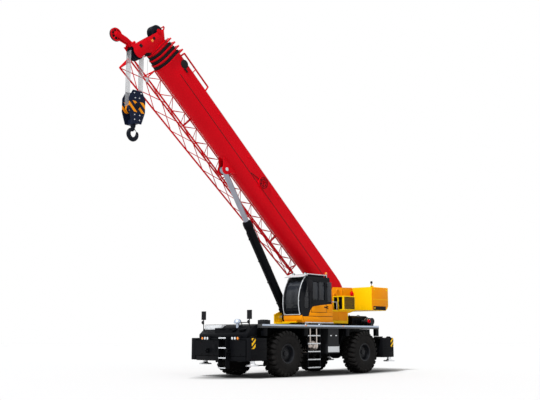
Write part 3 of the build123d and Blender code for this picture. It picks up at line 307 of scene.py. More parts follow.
# each finish: how it is made, its colour, and the values that its maker takes
recipes = {
    "craneYellow": (sprayed, (0.96, 0.58, 0.002), 0.36, 0.03, 0.08),
    # the crane yellow darkened to orange: painted shade for faces turned from the light
    "panelOrange": (sprayed, (0.86, 0.29, 0.002), 0.36, 0.02, 0.06),
    "boomRed": (sprayed, (0.66, 0.002, 0.009), 0.38, 0.008, 0.05, 0.06),
    "cabBlack": (sprayed, (0.005, 0.006, 0.008), 0.26, 0.005, 0.08, 0.04),
    "chassisBlack": (sprayed, (0.0038, 0.0042, 0.0055), 0.40, 0.010, 0.035),
    "lockerGrey": (sprayed, (0.016, 0.017, 0.019), 0.42, 0.02, 0.08),
    "rimBlack": (sprayed, (0.008, 0.009, 0.012), 0.34, 0.012, 0.20),
    "blockNavy": (striped, (0.006, 0.010, 0.028), (0.88, 0.30, 0.006), (3.1, -3.1), 0.55, (9.46, 9.86)),
    "hazard": (striped, (0.015, 0.015, 0.015), (0.92, 0.52, 0.01), (5.0, 5.0), 0.5),
    "hookDark": (sprayed, (0.005, 0.007, 0.013), 0.4, 0.005, 0.08),
    "tyreRubber": (rubbery, (0.0085, 0.008, 0.008), 0.10),
    "hoseRubber": (rubbery, (0.012, 0.012, 0.013), 0.15),
    "deckPlate": (treadPlate, (0.035, 0.037, 0.040)),
    "brightSteel": (brushed, (0.66, 0.67, 0.69), 0.34),
    "tankSteel": (brushed, (0.54, 0.48, 0.44), 0.26),
    "chromeRod": (brushed, (0.30, 0.31, 0.36), 0.22),
    "dullSteel": (brushed, (0.46, 0.52, 0.62), 0.42),
    "castIron": (rubbery, (0.09, 0.095, 0.10), 0.3),
    "tintedPane": (tinted, (0.006, 0.008, 0.011), 0.72),
    "amberLens": (lens, (0.95, 0.28, 0.01), 0.15),
    "clearLens": (lens, (0.82, 0.84, 0.86), 0.1),
    "redLens": (lens, (0.60, 0.01, 0.01), 0.05),
    "wireRope": (ropeLay, (0.42, 0.43, 0.45)),
    "seatCloth": (wovenCloth, (0.030, 0.031, 0.035)),
    "paleGuard": (sprayed, (0.62, 0.64, 0.66), 0.35, 0.04, 0.3),
    "mouldedBlack": (rubbery, (0.010, 0.010, 0.012), 0.1),
    "mirrorFace": (brushed, (0.72, 0.76, 0.80), 0.17),
}
look = {name: maker(name, *values) for name, (maker, *values) in recipes.items()}
finishOf = {  # by material slot
    "crane_yellow": "craneYellow", "boom_red": "boomRed", "cab_black": "cabBlack",
    "carrier_black": "chassisBlack", "deck_grey": "deckPlate", "cast_block": "castIron",
    "tyre_rubber": "tyreRubber", "rim_black": "rimBlack", "bright_steel": "brightSteel",
    "chrome_rod": "chromeRod", "pane": "tintedPane", "seat_cloth": "seatCloth",
    "lamp_lens": "mouldedBlack", "mirror_black": "mouldedBlack", "block_navy": "blockNavy",
}
ownFinish = {  # solids that differ from their slot
    "lockers": "lockerGrey", "fuel_tank": "tankSteel", "hoist_falls": "wireRope", "hook": "hookDark",
    "head_sheaves": "hookDark", "lift_barrel": "chassisBlack", "winches": "chassisBlack",
    "exhaust": "lockerGrey",
}
for part in frame["record"]["subparts"]:
    solid = nodes[part["node"]]
    solid.data.materials.clear()
    solid.data.materials.append(look[ownFinish.get(part["node"], finishOf[part["material_slot"]])])
print("finishes set:", len(look))


def edgesOf(verts):
    return list({edge for vert in verts for edge in vert.link_edges})


def only(kind, geom):
    return [item for item in geom if isinstance(item, kind)]


def rounded(bm, edges, width, segments=2):
    bmesh.ops.bevel(bm, geom=edges, offset=width, affect="EDGES", segments=segments, profile=0.5,
                    material=-1, clamp_overlap=True)


def turnTo(heading):
    return heading.to_track_quat("Z", "Y").to_matrix().to_4x4()


def onCircle(degrees, radius):
    return radius * math.cos(math.radians(degrees)), radius * math.sin(math.radians(degrees))


# a piece under work: shapes are added to one bmesh, in a base frame
class Piece:
    def __init__(self, name, base=deckFrame):
        self.name = name
        self.base = base
        self.bm = bmesh.new()

    def box(self, one, other, round=0.0, segments=2):  # between two opposite corners
        low = Vector([min(pair) for pair in zip(one, other)])
        high = Vector([max(pair) for pair in zip(one, other)])
        place = self.base @ Matrix.Translation((low + high) / 2) @ Matrix.Diagonal((*(high - low), 1.0))
        made = bmesh.ops.create_cube(self.bm, size=1.0, matrix=place)
        if round:
            rounded(self.bm, edgesOf(made["verts"]), round, segments)
        return self

    def bar(self, x, y, half, z, round=0.0, segments=2):  # box with half its width on each side of y
        return self.box((x[0], y - half, z[0]), (x[1], y + half, z[1]), round, segments)

    def rod(self, start, end, radius, sides=12, tip=None, round=0.0):
        start, end = self.base @ Vector(start), self.base @ Vector(end)
        run = end - start
        place = Matrix.Translation((start + end) / 2) @ turnTo(run)
        made = bmesh.ops.create_cone(self.bm, cap_ends=True, segments=sides, radius1=radius,
                                     radius2=radius if tip is None else tip, depth=run.length, matrix=place)
        if round:
            edges = edgesOf(made["verts"])
            rims = [edge for edge in edges if any(len(face.verts) > 4 for face in edge.link_faces)]
            rounded(self.bm, rims, round)
        return self

    def pin(self, x, z, near, far, radius, sides=6):  # rod across, from y near to y far
        return self.rod((x, near, z), (x, far, z), radius, sides)

    def path(self, points, radius, sides=8):
        for start, end in zip(points, points[1:]):
            self.rod(start, end, radius, sides)
        for joint in points[1:-1]:
            place = self.base @ Matrix.Translation(joint)
            bmesh.ops.create_icosphere(self.bm, subdivisions=1, radius=radius, matrix=place)
        return self

    def wire(self, points, y, radius, sides=8):  # path through (x, z) points at one y
        return self.path([(x, y, z) for x, z in points], radius, sides)

    def turned(self, profile, centre, axis, steps=32):  # profile holds (radius, along the axis)
        centre = self.base @ Vector(centre)
        axis = (self.base.to_3x3() @ Vector(axis)).normalized()
        out = axis.orthogonal().normalized()
        verts = [self.bm.verts.new(centre + axis * along + out * radius) for radius, along in profile]
        edges = [self.bm.edges.new(pair) for pair in zip(verts, verts[1:])]
        bmesh.ops.spin(self.bm, geom=verts + edges, cent=centre, axis=axis, angle=2 * math.pi, steps=steps,
                       use_merge=True, use_duplicate=False)
        return self

    def button(self, x, y, z, side, sizes, steps=24):  # flat boss that faces a side
        foot, rim, height, crown = sizes
        profile = [(0.0, 0.0), (foot, 0.0), (rim, height), (0.0, crown)]
        return self.turned(profile, (x, y, z), (0, side, 0), steps)

    def hoop(self, inner, outer, low, high, centre, axis, steps):
        return self.turned([(inner, low), (outer, low), (outer, high), (inner, high)], centre, axis, steps)

    def slab(self, outline, depth, round=0.0):  # outline of points, pushed along depth
        verts = [self.bm.verts.new(self.base @ Vector(point)) for point in outline]
        grown = bmesh.ops.extrude_face_region(self.bm, geom=[self.bm.faces.new(verts)])
        fresh = only(bmesh.types.BMVert, grown["geom"])
        bmesh.ops.translate(self.bm, verts=fresh, vec=self.base.to_3x3() @ Vector(depth))
        if round:
            rounded(self.bm, edgesOf(verts + fresh), round)
        return self

    def plate(self, outline, y, thick, round=0.0):  # slab with an (x, z) outline at y, thick across
        return self.slab([(x, y, z) for x, z in outline], (0, thick, 0), round)

    def bent(self, centre, axis, start, radius, angle, steps=14, sides=8):  # round bar swept about an axis
        centre = self.base @ Vector(centre)
        axis = (self.base.to_3x3() @ Vector(axis)).normalized()
        start = self.base @ Vector(start)
        place = Matrix.Translation(start) @ turnTo(axis.cross(start - centre).normalized())
        ring = bmesh.ops.create_circle(self.bm, cap_ends=False, segments=sides, radius=radius, matrix=place)
        edges = edgesOf(ring["verts"])
        geom = ring["verts"] + edges
        swept = bmesh.ops.spin(self.bm, geom=geom, cent=centre, axis=axis, angle=angle, steps=steps)
        bmesh.ops.contextual_create(self.bm, geom=edges)
        bmesh.ops.contextual_create(self.bm, geom=only(bmesh.types.BMEdge, swept["geom_last"]))
        return self

    def bolts(self, centre, axis, ring, count, size, height, turn=0.0):
        axis = Vector(axis).normalized()
        out = axis.orthogonal().normalized()
        for index in range(count):
            spin = Matrix.Rotation(turn + 2 * math.pi * index / count, 3, axis)
            foot = Vector(centre) + spin @ out * ring
            self.rod(foot, foot + axis * height, size, 6)
        return self

    def spokes(self, centre, level, rise, count, inner, outer, radius):  # level and rise span their plane
        centre, level, rise = Vector(centre), Vector(level), Vector(rise)
        for turn in range(count):
            along, up = onCircle(360 * turn / count, 1.0)
            out = level * along + rise * up
            self.rod(centre + out * inner, centre + out * outer, radius, 6)
        return self

    def done(self, body, slotName, finish=None, replaced=(), sharp=0.6):
        bmesh.ops.remove_doubles(self.bm, verts=self.bm.verts, dist=1e-6)
        bmesh.ops.recalc_face_normals(self.bm, faces=self.bm.faces)
        for face in self.bm.faces:
            face.smooth = True
        for edge in self.bm.edges:
            edge.smooth = len(edge.link_faces) == 2 and edge.calc_face_angle(0.0) < sharp
        mesh = bpy.data.meshes.new(self.name)
        self.bm.to_mesh(mesh)
        self.bm.free()
        made = bpy.data.objects.new(self.name, mesh)
        scene.collection.objects.link(made)
        mesh.materials.append(look[finish or finishOf[slotName]])
        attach(made, body)
        if replaced:
            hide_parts(*replaced)
        return made


# tyres and rims
tyre = {
    "radius": 0.875, "crown": 0.818, "carcass": 0.815, "half": 0.3275, "bead": 0.378, "toe": 0.354,
    "toeHalf": 0.27, "bands": ((0.47, 0.009), (0.56, 0.003)), "bandHalf": 0.008, "bandTop": 0.005,
    "skyReflectionHigh": 0.007, "steps": 72, "lugs": 26, "lugHalf": 0.056, "lugFoot": 0.79, "lugIn": 0.03,
    "lugTop": 0.285, "lugOut": 0.3365, "round": 0.010, "shoulder": 0.81, "skirt": 0.715, "lean": 0.18,
    "skirtLean": 0.105, "leanAbove": 0.78, "leanFrom": 0.16,
}
rim = {  # bolts: place along the axle, ring, count, size, height, turn
    "bolts": ((0.145, 0.165, 20, 0.013, 0.026, 0.0), (0.085, 0.26, 20, 0.016, 0.036, 0.1),
              (0.205, 0.085, 8, 0.009, 0.018, 0.0)),
    "cap": (0.20, 0.232, 0.03), "steps": 48,
}


def tyreSection():
    half = tyre["half"]
    wall = [(tyre["bead"], -0.285), (0.394, -0.302), (0.45, -0.322), (0.53, -half), (0.62, -half),
            (0.70, -0.322), (0.765, -0.302), (0.80, -0.262), (tyre["carcass"], -0.16)]
    section = wall + [(tyre["crown"], 0.0)] + [(radius, -along) for radius, along in reversed(wall)]
    return section + [(tyre["toe"], tyre["toeHalf"]), (tyre["toe"], -tyre["toeHalf"]), wall[0]]


def lugShape(row):  # one block of the tread, on the side that row gives
    mould = Piece("lugMould", Matrix())
    outline = [(tyre["lugIn"], tyre["lugFoot"]), (tyre["lugIn"], tyre["radius"]),
               (tyre["lugTop"], tyre["radius"]), (tyre["lugOut"], tyre["shoulder"]),
               (tyre["lugOut"], tyre["skirt"]), (0.30, tyre["skirt"] + 0.01)]
    half = tyre["lugHalf"]
    mould.slab([(-half, row * across, out) for across, out in outline], (2 * half, 0, 0))
    for vert in mould.bm.verts:
        lean = tyre["lean"] if vert.co.z > tyre["leanAbove"] else tyre["skirtLean"]
        vert.co.x += lean * (abs(vert.co.y) - tyre["leanFrom"])
    bmesh.ops.recalc_face_normals(mould.bm, faces=mould.bm.faces)
    rounded(mould.bm, list(mould.bm.edges), tyre["round"], 1)
    shape = bpy.data.meshes.new("lugMould")
    mould.bm.to_mesh(shape)
    mould.bm.free()
    return shape


lugShapes = {row: lugShape(row) for row in bothSides}
rimSection = [
    (0.0, 0.215), (0.098, 0.215), (0.116, 0.207), (0.12, 0.19), (0.12, 0.158), (0.196, 0.152),
    (0.205, 0.142), (0.207, 0.105), (0.235, 0.098), (0.276, 0.104), (0.303, 0.15), (0.322, 0.245),
    (0.330, 0.280), (0.348, 0.284), (0.360, 0.294), (0.372, 0.296), (0.379, 0.288), (0.353, 0.272),
    (0.353, -0.272), (0.379, -0.281), (0.379, -0.293), (0.325, -0.293), (0.325, 0.06), (0.205, 0.07),
    (0.205, -0.15), (0.083, -0.15), (0.083, 0.06), (0.0, 0.06),
]
for corner, sx, sy in corners:
    hub = Matrix.Translation(at(sx * crane["axle"], sy * crane["track"], crane["hub"]))
    body = "wheel_" + corner
    piece = Piece("lugTyre_" + corner, hub)
    piece.turned(tyreSection(), (0, 0, 0), crosswise, tyre["steps"])
    for band, sunk in tyre["bands"]:
        for face in bothSides:
            foot = face * (tyre["half"] - sunk)
            top = foot + face * tyre["skyReflectionHigh"]
            rib = [(band - tyre["bandHalf"], foot), (band - tyre["bandTop"], top),
                   (band + tyre["bandTop"], top), (band + tyre["bandHalf"], foot)]
            piece.turned(rib, (0, 0, 0), crosswise, tyre["steps"])
    pitch = 2 * math.pi / tyre["lugs"]
    for row, shape in lugShapes.items():
        shift = 0.5 if row * sy < 0 else 0.0  # the rows are staggered
        for lug in range(tyre["lugs"]):
            before = len(piece.bm.verts)
            piece.bm.from_mesh(shape)
            piece.bm.verts.ensure_lookup_table()
            spin = hub @ Matrix.Rotation(pitch * (lug + shift), 4, "Y")
            bmesh.ops.transform(piece.bm, matrix=spin, verts=piece.bm.verts[before:])
    piece.done(body, "tyre_rubber", None, ("tyre_" + corner,), 0.5)

    piece = Piece("dishedRim_" + corner, hub)
    piece.turned([(radius, along * sy) for radius, along in rimSection], (0, 0, 0), crosswise, rim["steps"])
    out = Vector((0, sy, 0))
    for start, ring, count, size, height, turn in rim["bolts"]:
        piece.bolts(out * start, out, ring, count, size, height, turn)
    piece.rod(out * rim["cap"][0], out * rim["cap"][1], rim["cap"][2], 16)
    piece.done(body, "rim_black", None, ("rim_" + corner,), 0.45)
for shape in lugShapes.values():
    bpy.data.meshes.remove(shape)
print("wheels done")

# operator's cab: bowed screen with its guards, seals and wiper
cab = {"roof": (1.06, 3.95), "bulge": (1.50, 3.0), "sill": (1.29, 2.13), "wall": 1.461, "inner": 0.50,
       "mid": 0.985}


def arcCentre(a, b, c):  # centre of the circle through three (x, z) points
    d = 2 * (a[0] * (b[1] - c[1]) + b[0] * (c[1] - a[1]) + c[0] * (a[1] - b[1]))
    sq = [p[0] ** 2 + p[1] ** 2 for p in (a, b, c)]
    x = (sq[0] * (b[1] - c[1]) + sq[1] * (c[1] - a[1]) + sq[2] * (a[1] - b[1])) / d
    z = (sq[0] * (c[0] - b[0]) + sq[1] * (a[0] - c[0]) + sq[2] * (b[0] - a[0])) / d
    return x, z


screen = arcCentre(cab["roof"], cab["bulge"], cab["sill"])
screenR = math.dist(cab["roof"], screen)


def screenAngle(z):
    return math.asin((z - screen[1]) / screenR)


def onScreen(z, lift, y):  # a place off the screen by lift
    a = screenAngle(z)
    return Vector((screen[0] + (screenR + lift) * math.cos(a), y,
                   screen[1] + (screenR + lift) * math.sin(a)))


def screenBow(piece, y, low, high, lift, radius, sides):
    sweep = screenAngle(high) - screenAngle(low)
    piece.bent((screen[0], y, screen[1]), (0, -1, 0), onScreen(low, lift, y), radius, sweep, 16, sides)


guard = {
    "y": (0.56, 1.41), "low": 2.40, "high": 3.92, "lift": 0.055, "bow": 0.016,
    "stays": (2.45, 2.95, 3.45, 3.88),
    "ties": (2.42, 3.90), "railEnds": (1.0, -0.20), "railTop": 4.045, "rail": 0.017,
    "visor": [(1.40, 3.90), (1.06, 4.005), (1.06, 4.03), (1.41, 3.925)], "visorWide": 0.98,
}
piece = Piece("screenGuards")
for y in guard["y"]:
    screenBow(piece, y, guard["low"], guard["high"], guard["lift"], guard["bow"], 8)
    for z in guard["stays"]:
        piece.rod(onScreen(z, -0.005, y), onScreen(z, guard["lift"], y), 0.012, 8)
for z in guard["ties"]:
    piece.rod(*[onScreen(z, 0.05, y) for y in guard["y"]], 0.013, 8)
front, rear = guard["railEnds"]
for y in guard["y"]:
    rail = [(rear, cab["roof"][1]), (rear, guard["railTop"]), (front, guard["railTop"]), (1.045, 3.955)]
    piece.wire(rail, y, guard["rail"])
piece.plate(guard["visor"], cab["inner"], guard["visorWide"], 0.006)
for x in guard["railEnds"]:
    piece.pin(x, guard["railTop"], *guard["y"], guard["rail"], 8)
piece.done("superstructure", "bright_steel", "paleGuard")

seal = {
    "y": (0.605, 1.365), "low": 2.57, "high": 3.78, "ends": (2.565, 3.785), "lift": 0.004, "radius": 0.012,
    "sideY": (0.508, 1.462), "sideRadius": 0.009,
    "sideLoop": [(0.94, 2.66), (1.25, 2.66), (1.25, 3.0), (1.065, 3.69), (0.94, 3.69), (0.94, 2.66)],
}
wiper = {"heights": (2.52, 2.8, 3.1, 3.35), "tipY": 1.05}
piece = Piece("wiperAndSeals")
piece.rod(*[onScreen(wiper["heights"][0], lift, cab["mid"]) for lift in (0.0, 0.045)], 0.022, 10)
for lower, upper in zip(wiper["heights"], wiper["heights"][1:]):
    piece.rod(onScreen(lower, 0.035, cab["mid"]), onScreen(upper, 0.03, wiper["tipY"]), 0.007, 6)
for y in seal["y"]:
    screenBow(piece, y, seal["low"], seal["high"], seal["lift"], seal["radius"], 6)
for z in seal["ends"]:
    piece.rod(*[onScreen(z, seal["lift"], y) for y in seal["y"]], seal["radius"], 6)
for y in seal["sideY"]:
    piece.wire(seal["sideLoop"], y, seal["sideRadius"], 6)
piece.done("superstructure", "mirror_black")

cabMirror = {
    "arms": ([(1.20, 1.46, 3.10), (1.085, 1.60, 3.12), (1.085, 1.61, 3.30)],
             [(1.02, 1.46, 3.88), (1.085, 1.60, 3.87), (1.085, 1.61, 3.78)]),
    "shell": ((1.055, 1.50, 3.30), (1.115, 1.72, 3.78)),
    "face": ((1.049, 1.52, 3.325), (1.056, 1.70, 3.755)),
}
piece = Piece("cabMirror")
for arm in cabMirror["arms"]:
    piece.path(arm, 0.014)
piece.box(*cabMirror["shell"], 0.022)
piece.done("superstructure", "mirror_black")
piece = Piece("cabMirrorFace")
piece.box(*cabMirror["face"], 0.002, 1)
piece.done("superstructure", "chrome_rod", "mirrorFace")

panel = {
    "thick": 0.016, "round": 0.006,
    "fixed": ([(-0.49, 2.35), (1.0, 2.35), (0.95, 2.495), (-0.49, 2.495)],
              [(-0.49, 2.50), (-0.135, 2.50), (-0.135, 2.84), (-0.40, 2.865), (-0.48, 2.86)],
              [(0.86, 2.50), (0.945, 2.50), (0.90, 2.58), (0.86, 2.63)]),
    "door": [(-0.105, 2.512), (0.825, 2.512), (0.825, 2.665), (0.76, 2.715), (0.66, 2.745), (0.40, 2.785),
             (0.10, 2.815), (-0.105, 2.832)],
}
piece = Piece("cabPanels")  # lower panel in the yellow with painted shade, its door part rides on the door below
for outline in panel["fixed"]:
    piece.plate(outline, cab["wall"], panel["thick"], panel["round"])
piece.done("superstructure", "crane_yellow", "panelOrange")
# door part of the lower panel, in the same yellow with painted shade
piece = Piece("doorPanel")
piece.plate(panel["door"], cab["wall"], panel["thick"], panel["round"])
piece.done("door", "crane_yellow", "panelOrange")
piece = Piece("quarterPane")
piece.box((-0.455, cab["wall"] - 0.002, 2.96), (-0.165, cab["wall"] + 0.008, 3.76), 0.004, 1)
piece.done("superstructure", "pane")
base = {
    "side": [(-0.495, 2.112), (1.30, 2.112), (1.36, 2.33), (-0.495, 2.33)], "sideY": 1.458,
    "sideThick": 0.024,
    "chin": [(1.235, 2.085), (1.385, 2.085), (1.452, 2.20), (1.452, 2.36), (1.40, 2.38), (1.31, 2.13),
             (1.235, 2.125)],
    "chinWide": 0.975, "sill": ((-0.52, 1.20, 2.066), (1.23, 1.492, 2.108)), "sillBolts": (-0.3, 0.3, 0.9),
}
piece = Piece("cabBase")  # base under the cab and its screen, in the yellow with painted shade
piece.plate(base["side"], base["sideY"], base["sideThick"], panel["round"])
piece.plate(base["chin"], cab["inner"], base["chinWide"], 0.012)
piece.done("superstructure", "crane_yellow", "panelOrange")
piece = Piece("cabSill")
piece.box(*base["sill"], 0.01)
for x in base["sillBolts"]:
    piece.pin(x, 2.087, 1.490, 1.498, 0.012, 8)
piece.done("superstructure", "bright_steel", "paleGuard")

beacon = {
    "at": (-0.26, 1.33, 0),
    "foot": [(0.0, 4.062), (0.062, 4.062), (0.062, 4.082), (0.05, 4.086), (0.0, 4.086)],
    "dome": [(0.0, 4.084), (0.048, 4.084), (0.047, 4.14), (0.042, 4.165), (0.028, 4.182), (0.0, 4.188)],
}
piece = Piece("roofBeacon")
piece.turned(beacon["foot"], beacon["at"], upward, 24)
piece.done("superstructure", "mirror_black")
piece = Piece("beaconDome")
piece.turned(beacon["dome"], beacon["at"], upward, 24)
piece.done("superstructure", "lamp_lens", "amberLens")

workLamp = {
    "y": (0.66, 1.31), "x": 0.97, "z": 4.055, "aim": (1, 0, -0.15), "steps": 20,
    "shell": [(0.0, 0.0), (0.05, 0.0), (0.065, 0.05), (0.065, 0.085), (0.058, 0.085), (0.055, 0.07),
              (0.0, 0.07)],
    "lens": [(0.0, 0.069), (0.056, 0.069), (0.05, 0.079), (0.0, 0.086)],
}
piece = Piece("workLamps")
for y in workLamp["y"]:
    piece.wire([(1.0, 3.955), (1.02, 4.02)], y, 0.012)
    piece.turned(workLamp["shell"], (workLamp["x"], y, workLamp["z"]), workLamp["aim"], workLamp["steps"])
piece.done("superstructure", "mirror_black")
piece = Piece("workLampLenses")
for y in workLamp["y"]:
    piece.turned(workLamp["lens"], (workLamp["x"], y, workLamp["z"]), workLamp["aim"], workLamp["steps"])
piece.done("superstructure", "lamp_lens", "clearLens")

door = {
    "bar": [(0.36, 3.01), (0.36, 3.75)], "barY": 1.452, "frameY": 1.463, "handleZ": 2.895, "handleY": 1.49,
    "frame": [(-0.03, 3.005), (0.75, 3.005), (0.75, 3.75), (-0.03, 3.75), (-0.03, 3.005)],
    "lock": ((0.66, 1.461, 2.86), (0.80, 1.475, 2.93)), "handle": (0.68, 0.78), "stems": (0.69, 0.77),
}
piece = Piece("doorTrim")
piece.wire(door["bar"], door["barY"], 0.014)
piece.wire(door["frame"], door["frameY"], 0.010, 6)
piece.box(*door["lock"], 0.006)
piece.rod(*[(x, door["handleY"], door["handleZ"]) for x in door["handle"]], 0.010, 10)
for x in door["stems"]:
    piece.pin(x, door["handleZ"], 1.47, door["handleY"], 0.008, 8)
piece.done("door", "mirror_black")

# seat with three stuffed pads, and the desk ahead of it
pad = {"cuts": 5, "edge": 0.9, "sink": 0.022, "draw": 0.014, "smooth": 0.35, "levels": 2}


# a divided box, crowned on one face and drawn in at its edges
def padPiece(name, low, high, crown, face, replaced=()):
    piece = Piece(name).box(low, high)
    middle = at(*((a + b) / 2 for a, b in zip(low, high)))
    half = [(b - a) / 2 for a, b in zip(low, high)]
    bmesh.ops.subdivide_edges(piece.bm, edges=list(piece.bm.edges), cuts=pad["cuts"], use_grid_fill=True)
    across = [i for i in range(3) if i != face]
    for vert in piece.bm.verts:
        near = [abs(vert.co[i] - middle[i]) / half[i] for i in range(3)]
        swell = math.prod(1 - near[i] ** 4 for i in across)
        if near[face] > pad["edge"] and vert.co[face] > middle[face]:
            vert.co[face] += crown * swell - pad["sink"]
        for i in across:
            if near[i] > pad["edge"]:
                vert.co[i] -= math.copysign(pad["draw"] * near[face] ** 2, vert.co[i] - middle[i])
    bmesh.ops.smooth_vert(piece.bm, verts=piece.bm.verts, factor=pad["smooth"], use_axis_x=True,
                          use_axis_y=True, use_axis_z=True)
    made = piece.done("superstructure", "seat_cloth", None, replaced, 3.0)
    swell = made.modifiers.new("round", "SUBSURF")
    swell.levels = pad["levels"]
    swell.render_levels = pad["levels"]


padPiece("seatCushion", (-0.07, 0.735, 2.775), (0.43, 1.235, 2.905), 0.018, 2, ("cab_seat",))
padPiece("seatBack", (-0.075, 0.745, 2.90), (0.035, 1.225, 3.44), 0.016, 0)
padPiece("headRest", (-0.07, 0.855, 3.455), (0.02, 1.115, 3.60), 0.012, 0)
seat = {
    "x": 0.18, "arms": (0.72, 1.25),
    "stand": [(0.0, 2.192), (0.15, 2.192), (0.15, 2.225), (0.11, 2.25), (0.10, 2.70), (0.14, 2.74),
              (0.14, 2.772), (0.0, 2.772)],
}
piece = Piece("seatBase")
piece.turned(seat["stand"], (seat["x"], cab["mid"], 0), upward, 24)
for y in seat["arms"]:
    piece.bar((-0.02, 0.30), y, 0.03, (3.03, 3.08), 0.015)
    piece.rod((0.22, y, 3.08), (0.23, y, 3.19), 0.018, 10, 0.012)
    piece.bar((-0.04, 0.0), y, 0.012, (2.79, 3.05))
piece.done("superstructure", "mirror_black")
desk = {
    "outline": [(1.02, 2.20), (1.22, 2.20), (1.30, 2.62), (1.22, 2.72), (1.0, 2.66)], "y": 0.62,
    "wide": 0.73, "column": ((0.96, 2.40), (0.82, 2.92)),
    "boss": [(0.0, -0.012), (0.05, -0.012), (0.045, 0.02), (0.0, 0.024)],
    "tilt": (-0.26, 0, 0.97), "wheel": (0.815, 2.945), "wheelR": 0.19, "spokes": 3,
    "spokeTurn": 2.094,
}
piece = Piece("controlDesk")
piece.plate(desk["outline"], desk["y"], desk["wide"], 0.02)
piece.wire(desk["column"], cab["mid"], 0.032, 12)
piece.turned(desk["boss"], (0.82, cab["mid"], 2.93), desk["tilt"], 16)
wheelAt = Vector((desk["wheel"][0], cab["mid"], desk["wheel"][1]))
tilt = Vector(desk["tilt"]).normalized()
spoke = tilt.orthogonal().normalized() * desk["wheelR"]
piece.bent(wheelAt, tilt, wheelAt + spoke, 0.016, 2 * math.pi * 0.999, 32, 8)
for turn in range(desk["spokes"]):
    spin = Matrix.Rotation(turn * desk["spokeTurn"], 3, tilt)
    piece.rod(wheelAt, wheelAt + spin @ spoke, 0.010, 6)
piece.box((1.10, 0.72, 2.74), (1.14, 0.94, 2.96), 0.012)
piece.done("superstructure", "mirror_black")
print("cab done")

# boom: ropes along the top, guides and slide pads at the collars, with painted shade in the gaps
boom = {
    "bodies": ("boom", "boom_2", "boom_3", "boom_4", "boom_5"), "half": 0.40, "top": 0.525, "inset": 0.03,
    "baseEnd": 13.08, "step": 0.20, "tip": 14.05,
}
topRope = {"radius": 0.011, "n": 0.80, "tipN": 0.66, "y": 0.05, "pitch": 0.025,
           "starts": (0.55, 1.17, 1.39, 1.61, 1.83)}
collar = {"high": 0.23, "wide": 0.045, "bolt": 0.013, "boltBack": 0.022, "boltN": (-0.05, 0.1, 0.25, 0.4),
          "boltY": (-0.22, -0.08, 0.08, 0.22), "lugs": (-0.16, 0.16), "rollerHalf": 0.17, "roller": 0.02}
slide = {"clear": 0.006, "thick": 0.03, "reach": 0.115, "lastReach": 0.012, "sunk": 0.01, "arc": 15}


def collarGuides(index, body, end):
    piece = Piece("collarGuides_%d" % (index + 1), boomFrame)
    top = boom["top"] - boom["inset"] * index + collar["high"]
    side = boom["half"] - boom["inset"] * index + collar["wide"]
    boltS = end - collar["boltBack"]
    for lug in collar["lugs"]:
        piece.bar((end - 0.10, end + 0.004), lug, 0.012, (top - 0.12, top + 0.03), 0.005)
    piece.pin(end - 0.05, top + 0.005, -collar["rollerHalf"], collar["rollerHalf"], collar["roller"], 12)
    for y in bothSides:
        for n in collar["boltN"]:
            piece.pin(boltS, n, y * (side - 0.002), y * (side + 0.016), collar["bolt"])
        piece.bar((end - 0.13, end - 0.046), y * (side - 0.10), 0.03, (0.02, 0.10), 0.006)
    for y in collar["boltY"]:
        piece.rod((boltS, y, top - 0.003), (boltS, y, top + 0.014), collar["bolt"], 6)
    piece.done(body, "boom_red")


def padsAndGapShade(index, body, end):  # black band round the next section in the gap to the collar: partly its slide pads, partly painted shade in the gap
    piece = Piece("gapShadeBand_%d" % (index + 1), boomFrame)
    clear = boom["half"] - boom["inset"] * (index + 1) + slide["clear"]
    roof = boom["top"] - boom["inset"] * (index + 1) + slide["clear"]
    reach = slide["reach"] if index < 3 else slide["lastReach"]
    loops = []
    for grow in (0.0, slide["thick"]):
        wide = clear + grow
        bow = [onCircle(degrees, wide) for degrees in range(0, -181, -slide["arc"])]
        under = [(y, clear - roof + n) for y, n in bow]
        loops.append([(wide, roof + grow)] + under + [(-wide, roof + grow)])
    start = end - slide["sunk"]
    inner, outer = loops
    for point in range(len(inner)):
        ring = (inner[point - 1], outer[point - 1], outer[point], inner[point])
        piece.slab([(start, *place) for place in ring], (reach + slide["sunk"], 0, 0))
    piece.done(body, "mirror_black")


for index, body in enumerate(boom["bodies"]):
    last = body == boom["bodies"][-1]
    y = topRope["y"] - topRope["pitch"] * index
    end = boom["tip"] if last else boom["baseEnd"] + boom["step"] * index
    piece = Piece("boomRope_%d" % (index + 1), boomFrame)
    endN = topRope["tipN"] if last else topRope["n"]
    piece.rod((topRope["starts"][index], y, topRope["n"]), (end, y, endN), topRope["radius"], 8)
    piece.done(body, "bright_steel", "wireRope")
    if not last:
        collarGuides(index, body, end)
        padsAndGapShade(index, body, end)

reel = {"s": 6.80, "n": 0.11, "rings": (0.225, 0.15), "face": 0.488, "high": 0.012, "spokeY": 0.494,
        "spokes": 6}
piece = Piece("cableReel", boomFrame)
for ring in reel["rings"]:
    top = reel["face"] + reel["high"]
    bead = [(ring - 0.012, reel["face"]), (ring - 0.010, top), (ring + 0.010, top),
            (ring + 0.012, reel["face"])]
    piece.turned(bead, (reel["s"], 0, reel["n"]), crosswise, 36)
piece.spokes((reel["s"], reel["spokeY"], reel["n"]), lengthwise, upward, reel["spokes"], 0.075, 0.225, 0.010)
piece.bolts((reel["s"], 0.446, reel["n"]), crosswise, 0.045, 6, 0.009, 0.016)
piece.done("boom", "carrier_black")
cable = {
    "duct": ((1.2, 0.398, -0.098), (12.46, 0.409, -0.076)),
    "lead": ((7.02, 0.415, 0.10), (7.5, 0.415, -0.06)),
    "drum": [(0.0, 0.398), (0.17, 0.398), (0.17, 0.43), (0.15, 0.44), (0.0, 0.44)],
    "drumAt": (12.61, 0, 0.37), "clamp": ((12.30, 0.398, 0.22), (12.50, 0.44, 0.28)),
}
piece = Piece("reelCable", boomFrame)
piece.box(*cable["duct"], 0.003, 1)
piece.rod(*cable["lead"], 0.012, 8)
